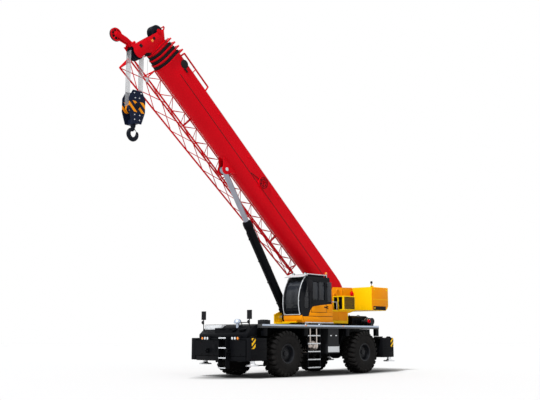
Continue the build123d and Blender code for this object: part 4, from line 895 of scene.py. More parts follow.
piece.turned(cable["drum"], cable["drumAt"], crosswise, 24)
piece.box(*cable["clamp"], 0.01)
piece.done("boom", "mirror_black", "hoseRubber")
sideTrim = {
    "strip": (0.9, 12.2), "stripY": 0.401, "stripN": (0.255, 0.275),
    "grease": (1.4, 3.6, 5.8, 8.0, 10.2, 12.4),
    "greaseY": 0.399, "greaseN": 0.36, "cap": (0.05, 0.045, 0.014, 0.016), "lugs": (-0.137, 0.137),
    "lugR": 0.12, "topRail": [(12.90, 0.52), (12.86, 0.80), (11.25, 0.80), (11.22, 0.52)],
    "topRailY": (-0.28, 0.28),
}
lugS, lugN = crane["liftLug"]
piece = Piece("boomSideTrim", boomFrame)  # stiffener strips and grease points along the base section
for y in bothSides:
    piece.bar(sideTrim["strip"], y * sideTrim["stripY"], 0.004, sideTrim["stripN"], 0.003, 1)
    for s in sideTrim["grease"]:
        piece.button(s, y * sideTrim["greaseY"], sideTrim["greaseN"], y, sideTrim["cap"], 16)
for y in sideTrim["lugs"]:
    piece.hoop(0.0, sideTrim["lugR"], -0.03, 0.03, (lugS, y, lugN), crosswise, 28)
piece.done("boom", "boom_red")
piece = Piece("boomTopRail", boomFrame)
for y in sideTrim["topRailY"]:
    piece.wire(sideTrim["topRail"], y, 0.034)
    piece.rod((12.1, y, 0.52), (12.1, y, 0.80), 0.02, 8)
piece.done("boom", "boom_red")
piece = Piece("lugPinKeepers", boomFrame)
for y in bothSides:
    piece.rod((lugS, y * 0.160, lugN), (lugS, y * 0.19, lugN), 0.075, 20, None, 0.008)
    piece.bolts((lugS, y * 0.188, lugN), (0, y, 0), 0.045, 4, 0.010, 0.014)
piece.done("boom", "bright_steel")

# boom head: plates, sheaves and nose
head = {
    "start": 13.745, "lower": (14.12, -0.92), "upper": (14.14, 0.42), "nose": (15.08, -1.14), "sheaves": 5,
    "pitch": 0.062, "plateIn": 0.21, "plateOut": 0.24, "beam": (14.43, 14.51), "beamN": (-0.915, -0.785),
    "armY": (0.070, -0.092), "armThick": 0.022, "upperY": (-0.12, -0.04, 0.04, 0.12), "spokes": 7,
    "bolts": ((13.86, 0.34), (13.86, 0.05), (13.95, -0.45), (14.02, 0.42), (14.20, -0.30)),
    "horn": [(14.03, 0.62), (14.10, 0.76), (14.16, 0.74)], "hornY": 0.225,
}
lowerS, lowerN = head["lower"]
upperS, upperN = head["upper"]
noseS, noseN = head["nose"]
piece = Piece("groovedSheaves", boomFrame)
web = [(0.06, -0.023), (0.10, -0.023), (0.11, -0.014), (0.215, -0.014), (0.228, -0.023), (0.27, -0.023),
       (0.27, -0.019), (0.246, -0.004)]
groove = web + [(radius, -along) for radius, along in reversed(web)]
for index in range(head["sheaves"]):
    y = (index - head["sheaves"] // 2) * head["pitch"]
    piece.turned(groove, (lowerS, y, lowerN), crosswise, 40)
piece.pin(lowerS, lowerN, -0.207, 0.207, 0.06, 24)
piece.done("sheaves", "block_navy", "hookDark", ("head_sheaves",))

piece = Piece("boomHead", boomFrame)  # tube of the last section, with its head plates
piece.bm.from_mesh(nodes["boom_section_5"].data)
bmesh.ops.remove_doubles(piece.bm, verts=piece.bm.verts, dist=1e-4)
tube = list(piece.bm.verts) + list(piece.bm.edges) + list(piece.bm.faces)
alongBoom = boomFrame.to_3x3() @ Vector(lengthwise)
cut = bmesh.ops.bisect_plane(piece.bm, geom=tube, dist=1e-5, plane_co=onBoom(head["start"] - 0.004, 0),
                             plane_no=alongBoom, clear_outer=True)
bmesh.ops.edgeloop_fill(piece.bm, edges=only(bmesh.types.BMEdge, cut["geom_cut"]))
bow = [(onCircle(degrees, 0.255)[0], onCircle(degrees, 0.20)[1]) for degrees in range(-150, 0, 30)]
sole = [(lowerS + s, lowerN + n) for s, n in bow]
cheekStart = head["start"] - 0.02
cheek = [(cheekStart, -0.40), (13.90, -0.66)] + sole
cheek += [(14.51, -1.02), (14.36, -0.66), (14.10, 0.62), (14.03, 0.66), (cheekStart, 0.40)]
for y in (head["plateIn"], -head["plateOut"]):
    piece.plate(cheek, y, head["plateOut"] - head["plateIn"], 0.006)
piece.bar(head["beam"], 0, head["plateOut"], head["beamN"], 0.012)
piece.bar((13.73, 14.12), 0, head["plateIn"], (-0.30, -0.22), 0.01)
piece.bar((13.73, 13.98), 0, head["plateIn"], (0.30, 0.36), 0.01)
arm = [(head["beam"][0], head["beamN"][1]), (14.75, -0.86), (15.08, -1.015), (15.17, -1.05), (15.205, -1.14),
       (15.17, -1.23), (15.08, -1.265), (14.85, -1.13), (head["beam"][0], head["beamN"][0])]
for y in head["armY"]:
    piece.plate(arm, y, head["armThick"], 0.005)
for y in bothSides:
    piece.button(upperS, y * 0.2395, upperN, y, (0.09, 0.085, 0.02, 0.022))
    piece.bolts((upperS, y * 0.258, upperN), (0, y, 0), 0.055, 6, 0.012, 0.014)
    piece.button(noseS, y * 0.0915, noseN, y, (0.06, 0.055, 0.02, 0.022))
    rimBead = [(0.188, 0.0), (0.19, 0.012), (0.245, 0.012), (0.25, 0.0)]
    piece.turned(rimBead, (noseS, y * 0.028, noseN), (0, y, 0), 36)
    piece.spokes((noseS, y * 0.034, noseN), lengthwise, upward, head["spokes"], 0.0, 0.2, 0.018)
    for s, n in head["bolts"]:
        piece.pin(s, n, y * 0.239, y * 0.252, 0.018)
    piece.wire(head["horn"], y * head["hornY"], 0.028)
piece.pin(14.13, 0.75, -head["hornY"], head["hornY"], 0.022, 10)
piece.pin(noseS, noseN, -0.09, 0.09, 0.06, 20)
piece.done("boom_5", "boom_red", None, ("boom_section_5",))
piece = Piece("headShadePatches", boomFrame)  # black patches painted as the shade in openings of the head plates and in the gap behind the head, and a dark disc at the nose
for y in bothSides:
    piece.bar((14.16, 14.29), y * 0.243, 0.004, (-0.75, -0.62), 0.003, 1)
    piece.bar((14.03, 14.13), y * 0.246, 0.006, (-0.02, 0.08), 0.003, 1)
piece.bar((13.70, 13.90), 0, 0.20, (-0.46, -0.34), 0.02)
piece.hoop(0.0, 0.215, -0.022, 0.022, (noseS, 0, noseN), crosswise, 36)
piece.done("boom_5", "mirror_black")
# amber reflectors on the head plates; their lens finish gives them a faint painted glow
piece = Piece("headReflectors", boomFrame)
for y in bothSides:
    piece.bar((14.02, 14.11), y * 0.246, 0.006, (-0.15, -0.06), 0.003, 1)
piece.done("boom_5", "lamp_lens", "amberLens")
piece = Piece("upperSheave", boomFrame)
upperGroove = [(0.06, -0.03), (0.262, -0.03), (0.268, -0.022), (0.244, 0.0), (0.268, 0.022), (0.262, 0.03),
               (0.06, 0.03)]
for y in head["upperY"]:
    piece.turned(upperGroove, (upperS, y, upperN), crosswise, 36)
piece.pin(upperS, upperN, -head["plateOut"], head["plateOut"], 0.06, 20)
piece.done("boom_5", "block_navy", "hookDark")
piece = Piece("noseGroove", boomFrame)
noseRim = [(0.235, 0.030), (0.252, 0.030), (0.252, 0.023), (0.252, -0.023), (0.252, -0.030), (0.235, -0.030)]
piece.turned(noseRim, (noseS, 0, noseN), crosswise, 40)
piece.done("boom_5", "block_navy", "hookDark")
print("boom done")

# hook block and hook, plumb under the lower sheaves
hangX = onBoom(*head["lower"]).x - crane["slewX"]
block = {
    "z": 9.694, "cheek": 0.2255, "cap": (0.11, 0.10, 0.022, 0.026), "stays": (-0.16, 0.16),
    "bolts": ((-0.15, 0.49), (0.15, 0.46), (-0.08, 0.30), (0.10, 0.28), (-0.11, -0.34), (0.11, -0.34),
              (-0.11, -0.52), (0.11, -0.52)),
}
piece = Piece("blockFittings")
for y in bothSides:
    piece.button(hangX, y * block["cheek"], block["z"], y, block["cap"], 28)
    piece.bolts((hangX, y * 0.246, block["z"]), (0, y, 0), 0.07, 6, 0.012, 0.014)
for x in block["stays"]:
    piece.pin(hangX + x, block["z"] + 0.48, -0.19, 0.19, 0.018, 10)
piece.done("block", "block_navy", "hookDark")
piece = Piece("blockBolts")
for y in bothSides:
    for x, z in block["bolts"]:
        piece.pin(hangX + x, block["z"] + z, y * block["cheek"], y * 0.244, 0.024)
piece.done("block", "bright_steel", "paleGuard")
hook = {  # sweep: angle, distance from the bowl's middle, share of the thickness
    "z": 8.694, "thick": 0.080,
    "sweep": ((90, 0.165, 0.85), (45, 0.180, 0.88), (0, 0.182, 1.0), (-45, 0.184, 1.0), (-90, 0.192, 1.05),
              (-135, 0.184, 0.98), (-180, 0.186, 0.76), (-208, 0.2, 0.45)),
    "shank": [(0.0, 9.224), (0.065, 9.224), (0.065, 9.046), (0.065, 9.043), (0.098, 9.043), (0.098, 9.0),
              (0.085, 8.945), (0.070, 8.90), (0.066, 8.84), (0.0, 8.82)],
    "latch": ((-0.075, 8.90), (-0.055, 8.92), (-0.165, 8.765), (-0.18, 8.775)), "latchHalf": 0.012,
}
curve = bpy.data.curves.new("hookSweep", "CURVE")
curve.dimensions = "3D"
curve.bevel_depth = hook["thick"]
curve.bevel_resolution = 5
curve.use_fill_caps = True
spline = curve.splines.new("BEZIER")
spline.bezier_points.add(len(hook["sweep"]) - 1)
for knot, (angle, ring, thick) in zip(spline.bezier_points, hook["sweep"]):
    x, z = onCircle(angle, ring)
    knot.co = at(hangX + x, 0, hook["z"] + z)
    knot.radius = thick
    knot.handle_left_type = "AUTO"
    knot.handle_right_type = "AUTO"
guide = bpy.data.objects.new("hookGuide", curve)
scene.collection.objects.link(guide)
shape = bpy.data.meshes.new_from_object(guide)
bpy.data.objects.remove(guide)
piece = Piece("forgedHook")
piece.bm.from_mesh(shape)
piece.turned(hook["shank"], (hangX, 0, 0), upward, 28)
piece.plate([(hangX + x, z) for x, z in hook["latch"]], -hook["latchHalf"], 2 * hook["latchHalf"], 0.003)
piece.done("hook", "block_navy", "hookDark", ("hook",), 0.7)
bpy.data.meshes.remove(shape)
limit = {
    "back": -0.42, "y": 0.20, "line": (11.55, 10.86),
    "weight": [(0.0, 10.70), (0.05, 10.70), (0.055, 10.72), (0.055, 10.84), (0.02, 10.87), (0.0, 10.87)],
}
limitX = hangX + limit["back"]
piece = Piece("limitWeight")  # small weight that hangs on the thin limit line at the head
piece.rod(*[(limitX, limit["y"], z) for z in limit["line"]], 0.006, 6)
piece.turned(limit["weight"], (limitX, limit["y"], 0), upward, 16)
piece.done("falls", "bright_steel", "wireRope")
print("hook done")

# lift cylinder dressing, with x along the barrel
lift = {
    "pipeY": (-0.05, 0.05), "pipeRun": (0.45, 4.1), "pipeN": -0.20, "clamps": (0.8, 1.8, 2.8, 3.8),
    "bands": (0.34, 2.3),
    "gland": [(0.118, 4.24), (0.186, 4.24), (0.192, 4.25), (0.192, 4.44), (0.18, 4.46), (0.18, 4.515),
              (0.14, 4.53), (0.118, 4.53)],
}
liftFoot = at(crane["liftFoot"][0], 0, crane["liftFoot"][1])
liftRun = (onBoom(*crane["liftLug"]) - liftFoot).normalized()
liftFrame = Matrix.Translation(liftFoot) @ liftRun.to_track_quat("X", "Z").to_matrix().to_4x4()
piece = Piece("liftPipes", liftFrame)
for y in lift["pipeY"]:
    piece.rod(*[(x, y, lift["pipeN"]) for x in lift["pipeRun"]], 0.016, 10)
    piece.rod((lift["pipeRun"][1], y, -0.205), (lift["pipeRun"][1], y, -0.15), 0.018, 10)
for x in lift["clamps"]:
    piece.bar((x - 0.025, x + 0.025), 0, 0.085, (-0.225, -0.165), 0.008)
piece.bar((0.36, 0.56), 0, 0.09, (-0.24, -0.16), 0.012)
piece.done("cylinder", "carrier_black")
piece = Piece("liftGland", liftFrame)
piece.turned(lift["gland"], (0, 0, 0), lengthwise, 36)
piece.bolts((4.455, 0, 0), lengthwise, 0.152, 12, 0.013, 0.075)
for x in lift["bands"]:
    piece.hoop(0.17, 0.184, x, x + 0.06, (0, 0, 0), lengthwise, 36)
piece.done("cylinder", "carrier_black")

# fourth chord and laces of the stowed jib, beside the boom's lower edge
jib = {  # each chord: (y, n) at the root and at the tip
    "from": 13.0, "to": 2.5, "root": 13.87, "tip": 2.35, "bays": 26, "chord": 0.026, "lace": 0.013,
    "inner": ((-0.50, -0.27), (-0.50, -0.27)), "under": ((-0.60, -0.69), (-0.60, -0.56)),
    "outer": ((-1.12, -0.42), (-0.84, -0.44)),
}
lacedChords = ("under", "outer")


def onJib(chord, share):
    root, tip = jib[chord]
    s = jib["from"] + share * (jib["to"] - jib["from"])
    along = (jib["root"] - s) / (jib["root"] - jib["tip"])
    return (s, root[0] + along * (tip[0] - root[0]), root[1] + along * (tip[1] - root[1]))


piece = Piece("jibLaces", boomFrame)
piece.rod(onJib("inner", 0), onJib("inner", 1), jib["chord"], 8)
for bay in range(jib["bays"]):
    for chord in lacedChords:
        near, far = ("inner", chord) if bay % 2 else (chord, "inner")
        piece.rod(onJib(near, bay / jib["bays"]), onJib(far, (bay + 1) / jib["bays"]), jib["lace"], 6)
for share in (0, 0.5, 1):
    for chord in lacedChords:
        piece.rod(onJib("inner", share), onJib(chord, share), jib["chord"], 8)
piece.done("boom", "boom_red")

# counterweight: a copy of its solid with the sharp edges broken, and what is on it
weight = {
    "round": 0.022, "keen": 0.5, "flat": 0.02, "wall": 1.553, "top": 3.70, "eyeY": (-1.1, 1.1),
    "eye": [(-3.86, 3.698), (-3.62, 3.698), (-3.66, 3.80), (-3.82, 3.80)],
    "boss": (0.045, 0.04, 0.012, 0.014),
    "bossX": (-4.2, -3.3), "bossZ": (2.78, 3.58),
    "side": [(-3.10, 2.69), (-4.12, 2.69), (-4.27, 2.84), (-4.27, 3.68), (-3.10, 3.68)], "lampY": 1.25,
    "plate": ((-4.12, 2.69), (-3.20, 2.86)), "post": (-3.2, 1.48),
    "postCap": [(0.0, 3.85), (0.05, 3.85), (0.05, 3.93), (0.035, 3.95), (0.0, 3.955)],
}
piece = Piece("counterweightEdges")
piece.bm.from_mesh(nodes["counterweight"].data)
bmesh.ops.remove_doubles(piece.bm, verts=piece.bm.verts, dist=1e-4)
bmesh.ops.dissolve_limit(piece.bm, angle_limit=weight["flat"], verts=piece.bm.verts, edges=piece.bm.edges)
creases = [edge for edge in piece.bm.edges if len(edge.link_faces) == 2]
rounded(piece.bm, [edge for edge in creases if edge.calc_face_angle(0.0) > weight["keen"]], weight["round"])
piece.done("superstructure", "crane_yellow", None, ("counterweight",))
piece = Piece("weightFittings")
for y in weight["eyeY"]:
    piece.plate(weight["eye"], y - 0.03, 0.06, 0.008)
    piece.bar((-3.96, -3.52), y, 0.16, (3.699, 3.716), 0.005)
for y in bothSides:
    piece.bar((-4.30, -3.18), y * 1.5555, 0.006, (3.15, 3.17), 0.003, 1)
    for x in weight["bossX"]:
        for z in weight["bossZ"]:
            piece.button(x, y * 1.554, z, y, weight["boss"], 16)
piece.done("superstructure", "crane_yellow")
piece = Piece("weightSideShade")  # sheets on the counterweight's sides that carry painted shade, in the darkened yellow
for y in bothSides:
    piece.plate(weight["side"], y * weight["wall"], y * 0.008, 0.003)
piece.done("superstructure", "crane_yellow", "panelOrange")
piece = Piece("weightTrim")
for y in bothSides:
    piece.bar((-4.413, -4.399), y * weight["lampY"], 0.16, (3.30, 3.42), 0.006)
(plateX, plateZ), (plateEnd, plateTop) = weight["plate"]
for y in (1, -1):
    piece.box((plateX, y * 1.548, plateZ), (plateEnd, y * 1.566, plateTop), 0.006)
postX, postY = weight["post"]
piece.rod((postX, postY, weight["top"]), (postX, postY, 3.86), 0.014, 8)
piece.turned(weight["postCap"], (postX, postY, 0), upward, 20)
piece.done("superstructure", "mirror_black")
piece = Piece("weightLamps")
for y in bothSides:
    piece.bar((-4.418, -4.411), y * weight["lampY"], 0.14, (3.32, 3.40), 0.003, 1)
piece.done("superstructure", "lamp_lens", "redLens")

# winches, pin keepers, cooler and side housings
winch = {
    "x": -3.01, "drums": (2.96, 3.42), "core": 0.142, "rope": 0.011, "half": 0.305, "lie": 0.004,
    "crown": 0.018,
    "drive": [(0.0, 0.0), (0.13, 0.0), (0.13, 0.03), (0.09, 0.045), (0.08, 0.09), (0.0, 0.09)],
}
piece = Piece("winchRope")
core, lie = winch["core"], winch["lie"]
lay = [(core - lie, -winch["half"])]
for turn in range(int(winch["half"] / winch["rope"])):
    y = -winch["half"] + (2 * turn + 1) * winch["rope"]
    lay += [(core + lie, y - 0.008), (core + winch["crown"], y), (core + lie, y + 0.008)]
lay.append((core - lie, winch["half"]))
for z in winch["drums"]:
    piece.turned(lay, (winch["x"], 0, z), crosswise, 32)
piece.done("superstructure", "bright_steel", "wireRope")
piece = Piece("winchDrive")
for z in winch["drums"]:
    for y in bothSides:
        piece.turned(winch["drive"], (winch["x"], y * 0.4855, z), (0, y, 0), 28)
        piece.bolts((winch["x"], y * 0.514, z), (0, y, 0), 0.108, 10, 0.010, 0.014)
piece.done("superstructure", "boom_red")
# pin keepers at the boom foot and the lift cylinder foot, in the yellow with painted shade
piece = Piece("footPinKeepers")
boomKeeper = [(0.0, 0.0), (0.19, 0.0), (0.18, 0.026), (0.12, 0.034), (0.0, 0.036)]
footX, footZ = crane["boomFoot"]
ramX, ramZ = crane["liftFoot"]
for y in bothSides:
    piece.turned(boomKeeper, (footX, y * 0.5165, footZ), (0, y, 0), 36)
    piece.bolts((footX, y * 0.542, footZ), (0, y, 0), 0.15, 8, 0.014, 0.016)
    piece.button(ramX, y * 0.4865, ramZ, y, (0.15, 0.14, 0.022, 0.026), 32)
    piece.bolts((ramX, y * 0.508, ramZ), (0, y, 0), 0.11, 6, 0.012, 0.014)
piece.done("superstructure", "crane_yellow", "panelOrange")
cooler = {
    "fans": (1.05, 1.305), "fanZ": 2.94, "fanX": -1.225, "blades": 6, "bars": (2.70, 2.76, 3.12, 3.18),
    "hub": [(0.0, -1.235), (0.03, -1.235), (0.025, -1.21), (0.0, -1.208)], "backs": (0.945, 1.205),
    "backWide": 0.21, "low": 2.685, "high": 3.195, "meshY": 1.503, "uprights": 20, "uprightFrom": -1.92,
    "uprightStep": 0.0345, "levels": 13, "levelFrom": 2.70, "levelStep": 0.04, "levelRun": (-1.935, -1.245),
}
piece = Piece("coolerFans")
for y in cooler["fans"]:
    centre = (0, y, cooler["fanZ"])
    piece.hoop(0.085, 0.105, -1.239, -1.215, centre, lengthwise, 28)
    piece.turned(cooler["hub"], centre, lengthwise, 16)
    piece.spokes((cooler["fanX"], *centre[1:]), crosswise, upward, cooler["blades"], 0.02, 0.09, 0.012)
    for z in cooler["bars"]:
        piece.pin(-1.215, z, y - 0.10, y + 0.09, 0.006)
for y in cooler["backs"]:
    piece.box((-1.24, y, cooler["low"]), (-1.234, y + cooler["backWide"], cooler["high"]), 0.002, 1)
piece.done("superstructure", "carrier_black")
piece = Piece("coolerMesh")  # wire guard over the slats
for bar in range(cooler["uprights"]):
    x = cooler["uprightFrom"] + cooler["uprightStep"] * bar
    piece.rod(*[(x, cooler["meshY"], z) for z in (cooler["low"], cooler["high"])], 0.007, 6)
for bar in range(cooler["levels"]):
    z = cooler["levelFrom"] + cooler["levelStep"] * bar
    piece.rod(*[(x, cooler["meshY"], z) for x in cooler["levelRun"]], 0.006, 6)
piece.done("superstructure", "carrier_black", "lockerGrey")
house = {
    "rear": -1.80, "panelZ": (2.20, 2.58), "top": 2.64, "railTop": 2.98,
    "capLeft": [(0.0, 2.64), (0.08, 2.64), (0.08, 2.69), (0.06, 2.71), (0.0, 2.712)],
    "capLeftAt": (-0.8, 0.85, 0),
    "capRight": [(0.0, 2.64), (0.10, 2.64), (0.10, 2.69), (0.07, 2.72), (0.0, 2.722)],
    "capRightAt": (-1.3, -0.85, 0),
    "cheek": [(-1.48, 2.66), (-1.52, 3.40), (-1.70, 3.66), (-3.05, 3.70), (-3.05, 2.95), (-1.9, 2.66)],
    "cheekY": 0.487, "cheekHoles": ((-1.80, 3.32), (-2.0, 3.50)),
    "holeRim": [(0.05, 0.0), (0.10, 0.0), (0.09, 0.02), (0.05, 0.022)],
    "rails": ((1.16, -0.62, -1.15), (-1.16, -1.10, -1.8)),
}
piece = Piece("houseTrim")  # seams, caps and a brace on the side housings, in the yellow with painted shade
lowZ, highZ = house["panelZ"]
piece.box((house["rear"], 1.199, lowZ), (-0.62, 1.207, highZ), 0.004, 1)
piece.box((-1.25, 1.205, 2.24), (-1.19, 1.213, 2.54), 0.003, 1)
piece.turned(house["capLeft"], house["capLeftAt"], upward, 24)
piece.turned(house["capRight"], house["capRightAt"], upward, 24)
piece.box((house["rear"], -1.207, lowZ), (-1.10, -1.199, highZ), 0.004, 1)
piece.rod((-1.9, 0.56, 2.66), (-2.6, 0.56, 3.30), 0.03, 12)
piece.done("superstructure", "crane_yellow", "panelOrange")
# cheek plates beside the boom foot, in the yellow with painted shade
piece = Piece("cheekPlates")
for y in bothSides:
    piece.plate(house["cheek"], y * house["cheekY"], y * 0.03, 0.008)
    for x, z in house["cheekHoles"]:
        piece.turned(house["holeRim"], (x, y * 0.516, z), (0, y, 0), 24)
    piece.bar((-2.30, -2.22), y * 0.53, 0.02, (2.66, 3.66), 0.008)
piece.done("superstructure", "crane_yellow", "panelOrange")
piece = Piece("houseRails")
for y, front, back in house["rails"]:
    foot, top = house["top"], house["railTop"]
    piece.wire([(front, foot), (front, top), (back, top), (back, foot)], y, 0.016)
piece.done("superstructure", "bright_steel", "paleGuard")
print("superstructure done")

# carrier: deck edge, ring bolts, hood and exhaust
deck = {
    "ends": (-3.49, 3.81), "edgeY": 1.616, "edgeZ": (1.925, 1.995), "ringBolts": 60, "ringR": 0.975,
    "ring": [(0.935, 1.962), (0.99, 1.962), (0.99, 2.002), (0.935, 2.002), (0.935, 1.962)],
    "handles": (-3.2, -2.5), "handleY": 0.7, "handleZ": (2.43, 2.47), "handleHalf": 0.08,
    "slats": (-3.25, -3.1, -2.95, -2.8, -2.65, -2.5, -2.35),
    "tip": [(0.045, 0.0), (0.066, 0.0), (0.066, 0.06), (0.05, 0.064), (0.045, 0.02)],
    "tipAt": (-2.90, 1.498, 2.19), "muffX": -3.18, "muffZ": 2.19, "muffBands": (1.19, 1.32, 1.45),
}
piece = Piece("deckEdges")
for y in bothSides:
    piece.bar(deck["ends"], y * deck["edgeY"], 0.006, deck["edgeZ"], 0.004, 1)
piece.done("carrier", "bright_steel", "dullSteel")
piece = Piece("ringBolts")
piece.bolts((0, 0, 2.0), upward, deck["ringR"], deck["ringBolts"], 0.016, 0.03)
piece.turned(deck["ring"], (0, 0, 0), upward, 60)
piece.done("carrier", "carrier_black")
piece = Piece("hoodFittings")
low, high = deck["handleZ"]
for y in bothSides:
    for x in deck["handles"]:
        near, far = x - deck["handleHalf"], x + deck["handleHalf"]
        piece.wire([(near, low), (near, high), (far, high), (far, low)], y * deck["handleY"], 0.012)
for x in deck["slats"]:
    piece.bar((x - 0.045, x + 0.045), 0, 0.45, (2.430, 2.446), 0.007, 1)
piece.done("carrier", "carrier_black")
piece = Piece("exhaustTip")
piece.turned(deck["tip"], deck["tipAt"], crosswise, 24)
piece.done("carrier", "boom_red")
piece = Piece("muffBands")
for y in deck["muffBands"]:
    piece.hoop(0.149, 0.157, -0.012, 0.012, (deck["muffX"], y, deck["muffZ"]), crosswise, 32)
piece.done("carrier", "bright_steel")

# outriggers: striped guards, jack fittings, beam ends and float rims
outrigger = {
    "leftX": 4.2625, "rightX": 3.8375, "stripeX": 4.34, "stripeHalf": 0.09, "stripeY": (1.687, 1.703),
    "stripeZ": (1.08, 1.47), "endX": (3.64, 4.47), "endY": (1.428, 1.688), "endZ": (0.64, 1.48),
    "ribs": (0.74, 1.06, 1.38), "ribY": 1.684, "ribHalf": 0.012, "ribInset": 0.03,
    "jackCap": [(0.0, 1.489), (0.10, 1.489), (0.10, 1.52), (0.07, 1.535), (0.0, 1.537)],
    "floatRim": [(0.235, 0.452), (0.2515, 0.452), (0.2515, 0.476), (0.24, 0.480), (0.235, 0.476)],
    "floatCone": [(0.088, 0.50), (0.125, 0.50), (0.11, 0.545), (0.0905, 0.55)],
}
for corner, sx, sy in corners:
    body = "beam_" + corner
    jackAt = (sx * (outrigger["leftX"] if sy > 0 else outrigger["rightX"]), sy * crane["jackY"], 0)
    piece = Piece("guardStripe_" + corner)
    middle = sx * outrigger["stripeX"]
    ends = zip(bothSides, outrigger["stripeY"], outrigger["stripeZ"])
    near, far = [(middle + way * outrigger["stripeHalf"], sy * y, z) for way, y, z in ends]
    piece.box(near, far, 0.003, 1)
    piece.done(body, "carrier_black", "hazard")
    piece = Piece("jackFittings_" + corner)
    piece.turned(outrigger["jackCap"], jackAt, upward, 24)
    piece.hoop(0.129, 0.142, 0.642, 0.70, jackAt, upward, 28)
    piece.bolts((*jackAt[:2], 1.52), upward, 0.055, 6, 0.010, 0.025)
    piece.done(body, "carrier_black")
    piece = Piece("beamEnd_" + corner)  # cover on the beam's end, flush with the outrigger box
    ends = zip(outrigger["endX"], outrigger["endY"], outrigger["endZ"])
    near, far = [(sx * x, sy * y, z) for x, y, z in ends]
    piece.box(near, far, 0.025)
    inset = sx * outrigger["ribInset"]
    half = outrigger["ribHalf"]
    ribRun = (near[0] + inset, far[0] - inset)
    for z in outrigger["ribs"]:
        piece.bar(ribRun, sy * outrigger["ribY"], half, (z - half, z + half), 0.004, 1)
    piece.done(body, "carrier_black")
    piece = Piece("floatRim_" + corner)
    piece.turned(outrigger["floatRim"], jackAt, upward, 32)
    piece.turned(outrigger["floatCone"], jackAt, upward, 28)
    piece.done("jack_" + corner, "bright_steel")

# lamps and mirrors
lamp = {
    "x": 4.49, "z": 1.465, "y": (0.70, 0.85, 1.0), "front": ("clear", "clear", "amber"),
    "rear": ("red", "amber", "red"),
    "lens": [(0.0, -0.004), (0.054, -0.004), (0.054, 0.012), (0.04, 0.024), (0.0, 0.030)],
    "bezel": [(0.055, -0.002), (0.066, -0.002), (0.064, 0.018), (0.055, 0.018)],
    "markerX": (-1.0, 1.35), "markerHalf": 0.05, "markerY": 1.6225, "markerZ": (1.945, 1.98),
}
for colour in ("clear", "amber", "red"):
    piece = Piece(colour + "Lamps")
    for end, bank in ((1, lamp["front"]), (-1, lamp["rear"])):
        for y in [place for place, kind in zip(lamp["y"], bank) if kind == colour]:
            for side in bothSides:
                piece.turned(lamp["lens"], (end * lamp["x"], side * y, lamp["z"]), (end, 0, 0), 24)
    if colour == "amber":
        for side in bothSides:
            for x in lamp["markerX"]:
                run = (x - lamp["markerHalf"], x + lamp["markerHalf"])
                piece.bar(run, side * lamp["markerY"], 0.006, lamp["markerZ"], 0.004, 1)
    piece.done("carrier", "lamp_lens", colour + "Lens")
piece = Piece("lampBezels")
for end in bothSides:
    for side in bothSides:
        for y in lamp["y"]:
            piece.turned(lamp["bezel"], (end * lamp["x"], side * y, lamp["z"]), (end, 0, 0), 24)
piece.done("carrier", "mirror_black")
mirror = {
    "y": 1.3, "roundAt": (4.22, 2.08),
    "round": [(0.0, -0.03), (0.06, -0.025), (0.075, 0.0), (0.07, 0.006), (0.0, 0.006)],
    "post": ((4.18, 1.3, 1.72), (4.08, 1.2, 1.39)), "glassX": (4.144, 4.151), "glassHalf": 0.09,
    "glassZ": (2.20, 2.50),
}
piece = Piece("roundMirrors")
for side in bothSides:
    x, z = mirror["roundAt"]
    y = side * mirror["y"]
    piece.turned(mirror["round"], (x, y, z), (-1, 0, 0), 24)
    piece.rod((x - 0.04, y, z), (x + 0.005, y, z), 0.012, 8)
    piece.rod(*[(x, side * y, z) for x, y, z in mirror["post"]], 0.012, 8)
piece.done("carrier", "mirror_black")
piece = Piece("mirrorGlass")
for side in bothSides:
    piece.bar(mirror["glassX"], side * mirror["y"], mirror["glassHalf"], mirror["glassZ"], 0.002, 1)
piece.done("carrier", "chrome_rod", "mirrorFace")

# steps, rails, boxes and covers
steps = {
    "side": 5, "sideX": (0.46, 1.21), "sideY": (1.594, 1.608), "sideFrom": 0.30, "sideRise": 0.312,
    "front": 4, "frontX": (4.682, 4.696), "frontY": (0.15, 0.55), "frontFrom": 0.35, "frontRise": 0.37,
    "below": 0.004, "above": 0.040, "grabs": (0.42, 1.25), "grabY": 1.57, "grabFoot": 1.99, "grabTop": 2.034,
}
piece = Piece("stepEdges")  # pale nosings on the treads
for side in bothSides:
    for step in range(steps["side"]):
        z = steps["sideFrom"] + step * steps["sideRise"]
        (x, far), (y, out) = steps["sideX"], steps["sideY"]
        piece.box((x, side * y, z - steps["below"]), (far, side * out, z + steps["above"]), 0.004, 1)
for step in range(steps["front"]):
    z = steps["frontFrom"] + step * steps["frontRise"]
    (x, far), (y, out) = steps["frontX"], steps["frontY"]
    piece.box((x, y, z - steps["below"]), (far, out, z + steps["above"]), 0.004, 1)
piece.done("carrier", "bright_steel", "paleGuard")
piece = Piece("grabRails")
foot, top = steps["grabFoot"], steps["grabTop"]
for side in bothSides:
    for x in steps["grabs"]:
        bow = [(x - 0.09, foot), (x - 0.06, top), (x + 0.06, top), (x + 0.09, foot)]
        piece.wire(bow, side * steps["grabY"], 0.012)
piece.done("carrier", "bright_steel", "dullSteel")
dome = [(0.0, 1.80), (0.06, 1.80), (0.06, 2.02), (0.14, 2.03), (0.15, 2.07), (0.13, 2.14), (0.085, 2.185),
        (0.0, 2.20)]
piece = Piece("deckDome")
piece.turned(dome, (4.03, 0.50, 0), upward, 32)
piece.done("carrier", "bright_steel", "dullSteel")
piece = Piece("deckBoxes")
piece.box((3.10, 0.95, 2.0), (3.40, 1.35, 2.16), 0.012)
piece.box((3.12, 1.05, 2.16), (3.38, 1.25, 2.175), 0.005)
piece.done("carrier", "carrier_black", "lockerGrey")
locker = {"latches": (-0.55, -0.22), "latchY": 1.595, "latchZ": (1.55, 1.59), "panelX": (-0.74, -0.03),
          "panelY": 1.593}
piece = Piece("lockerFittings")
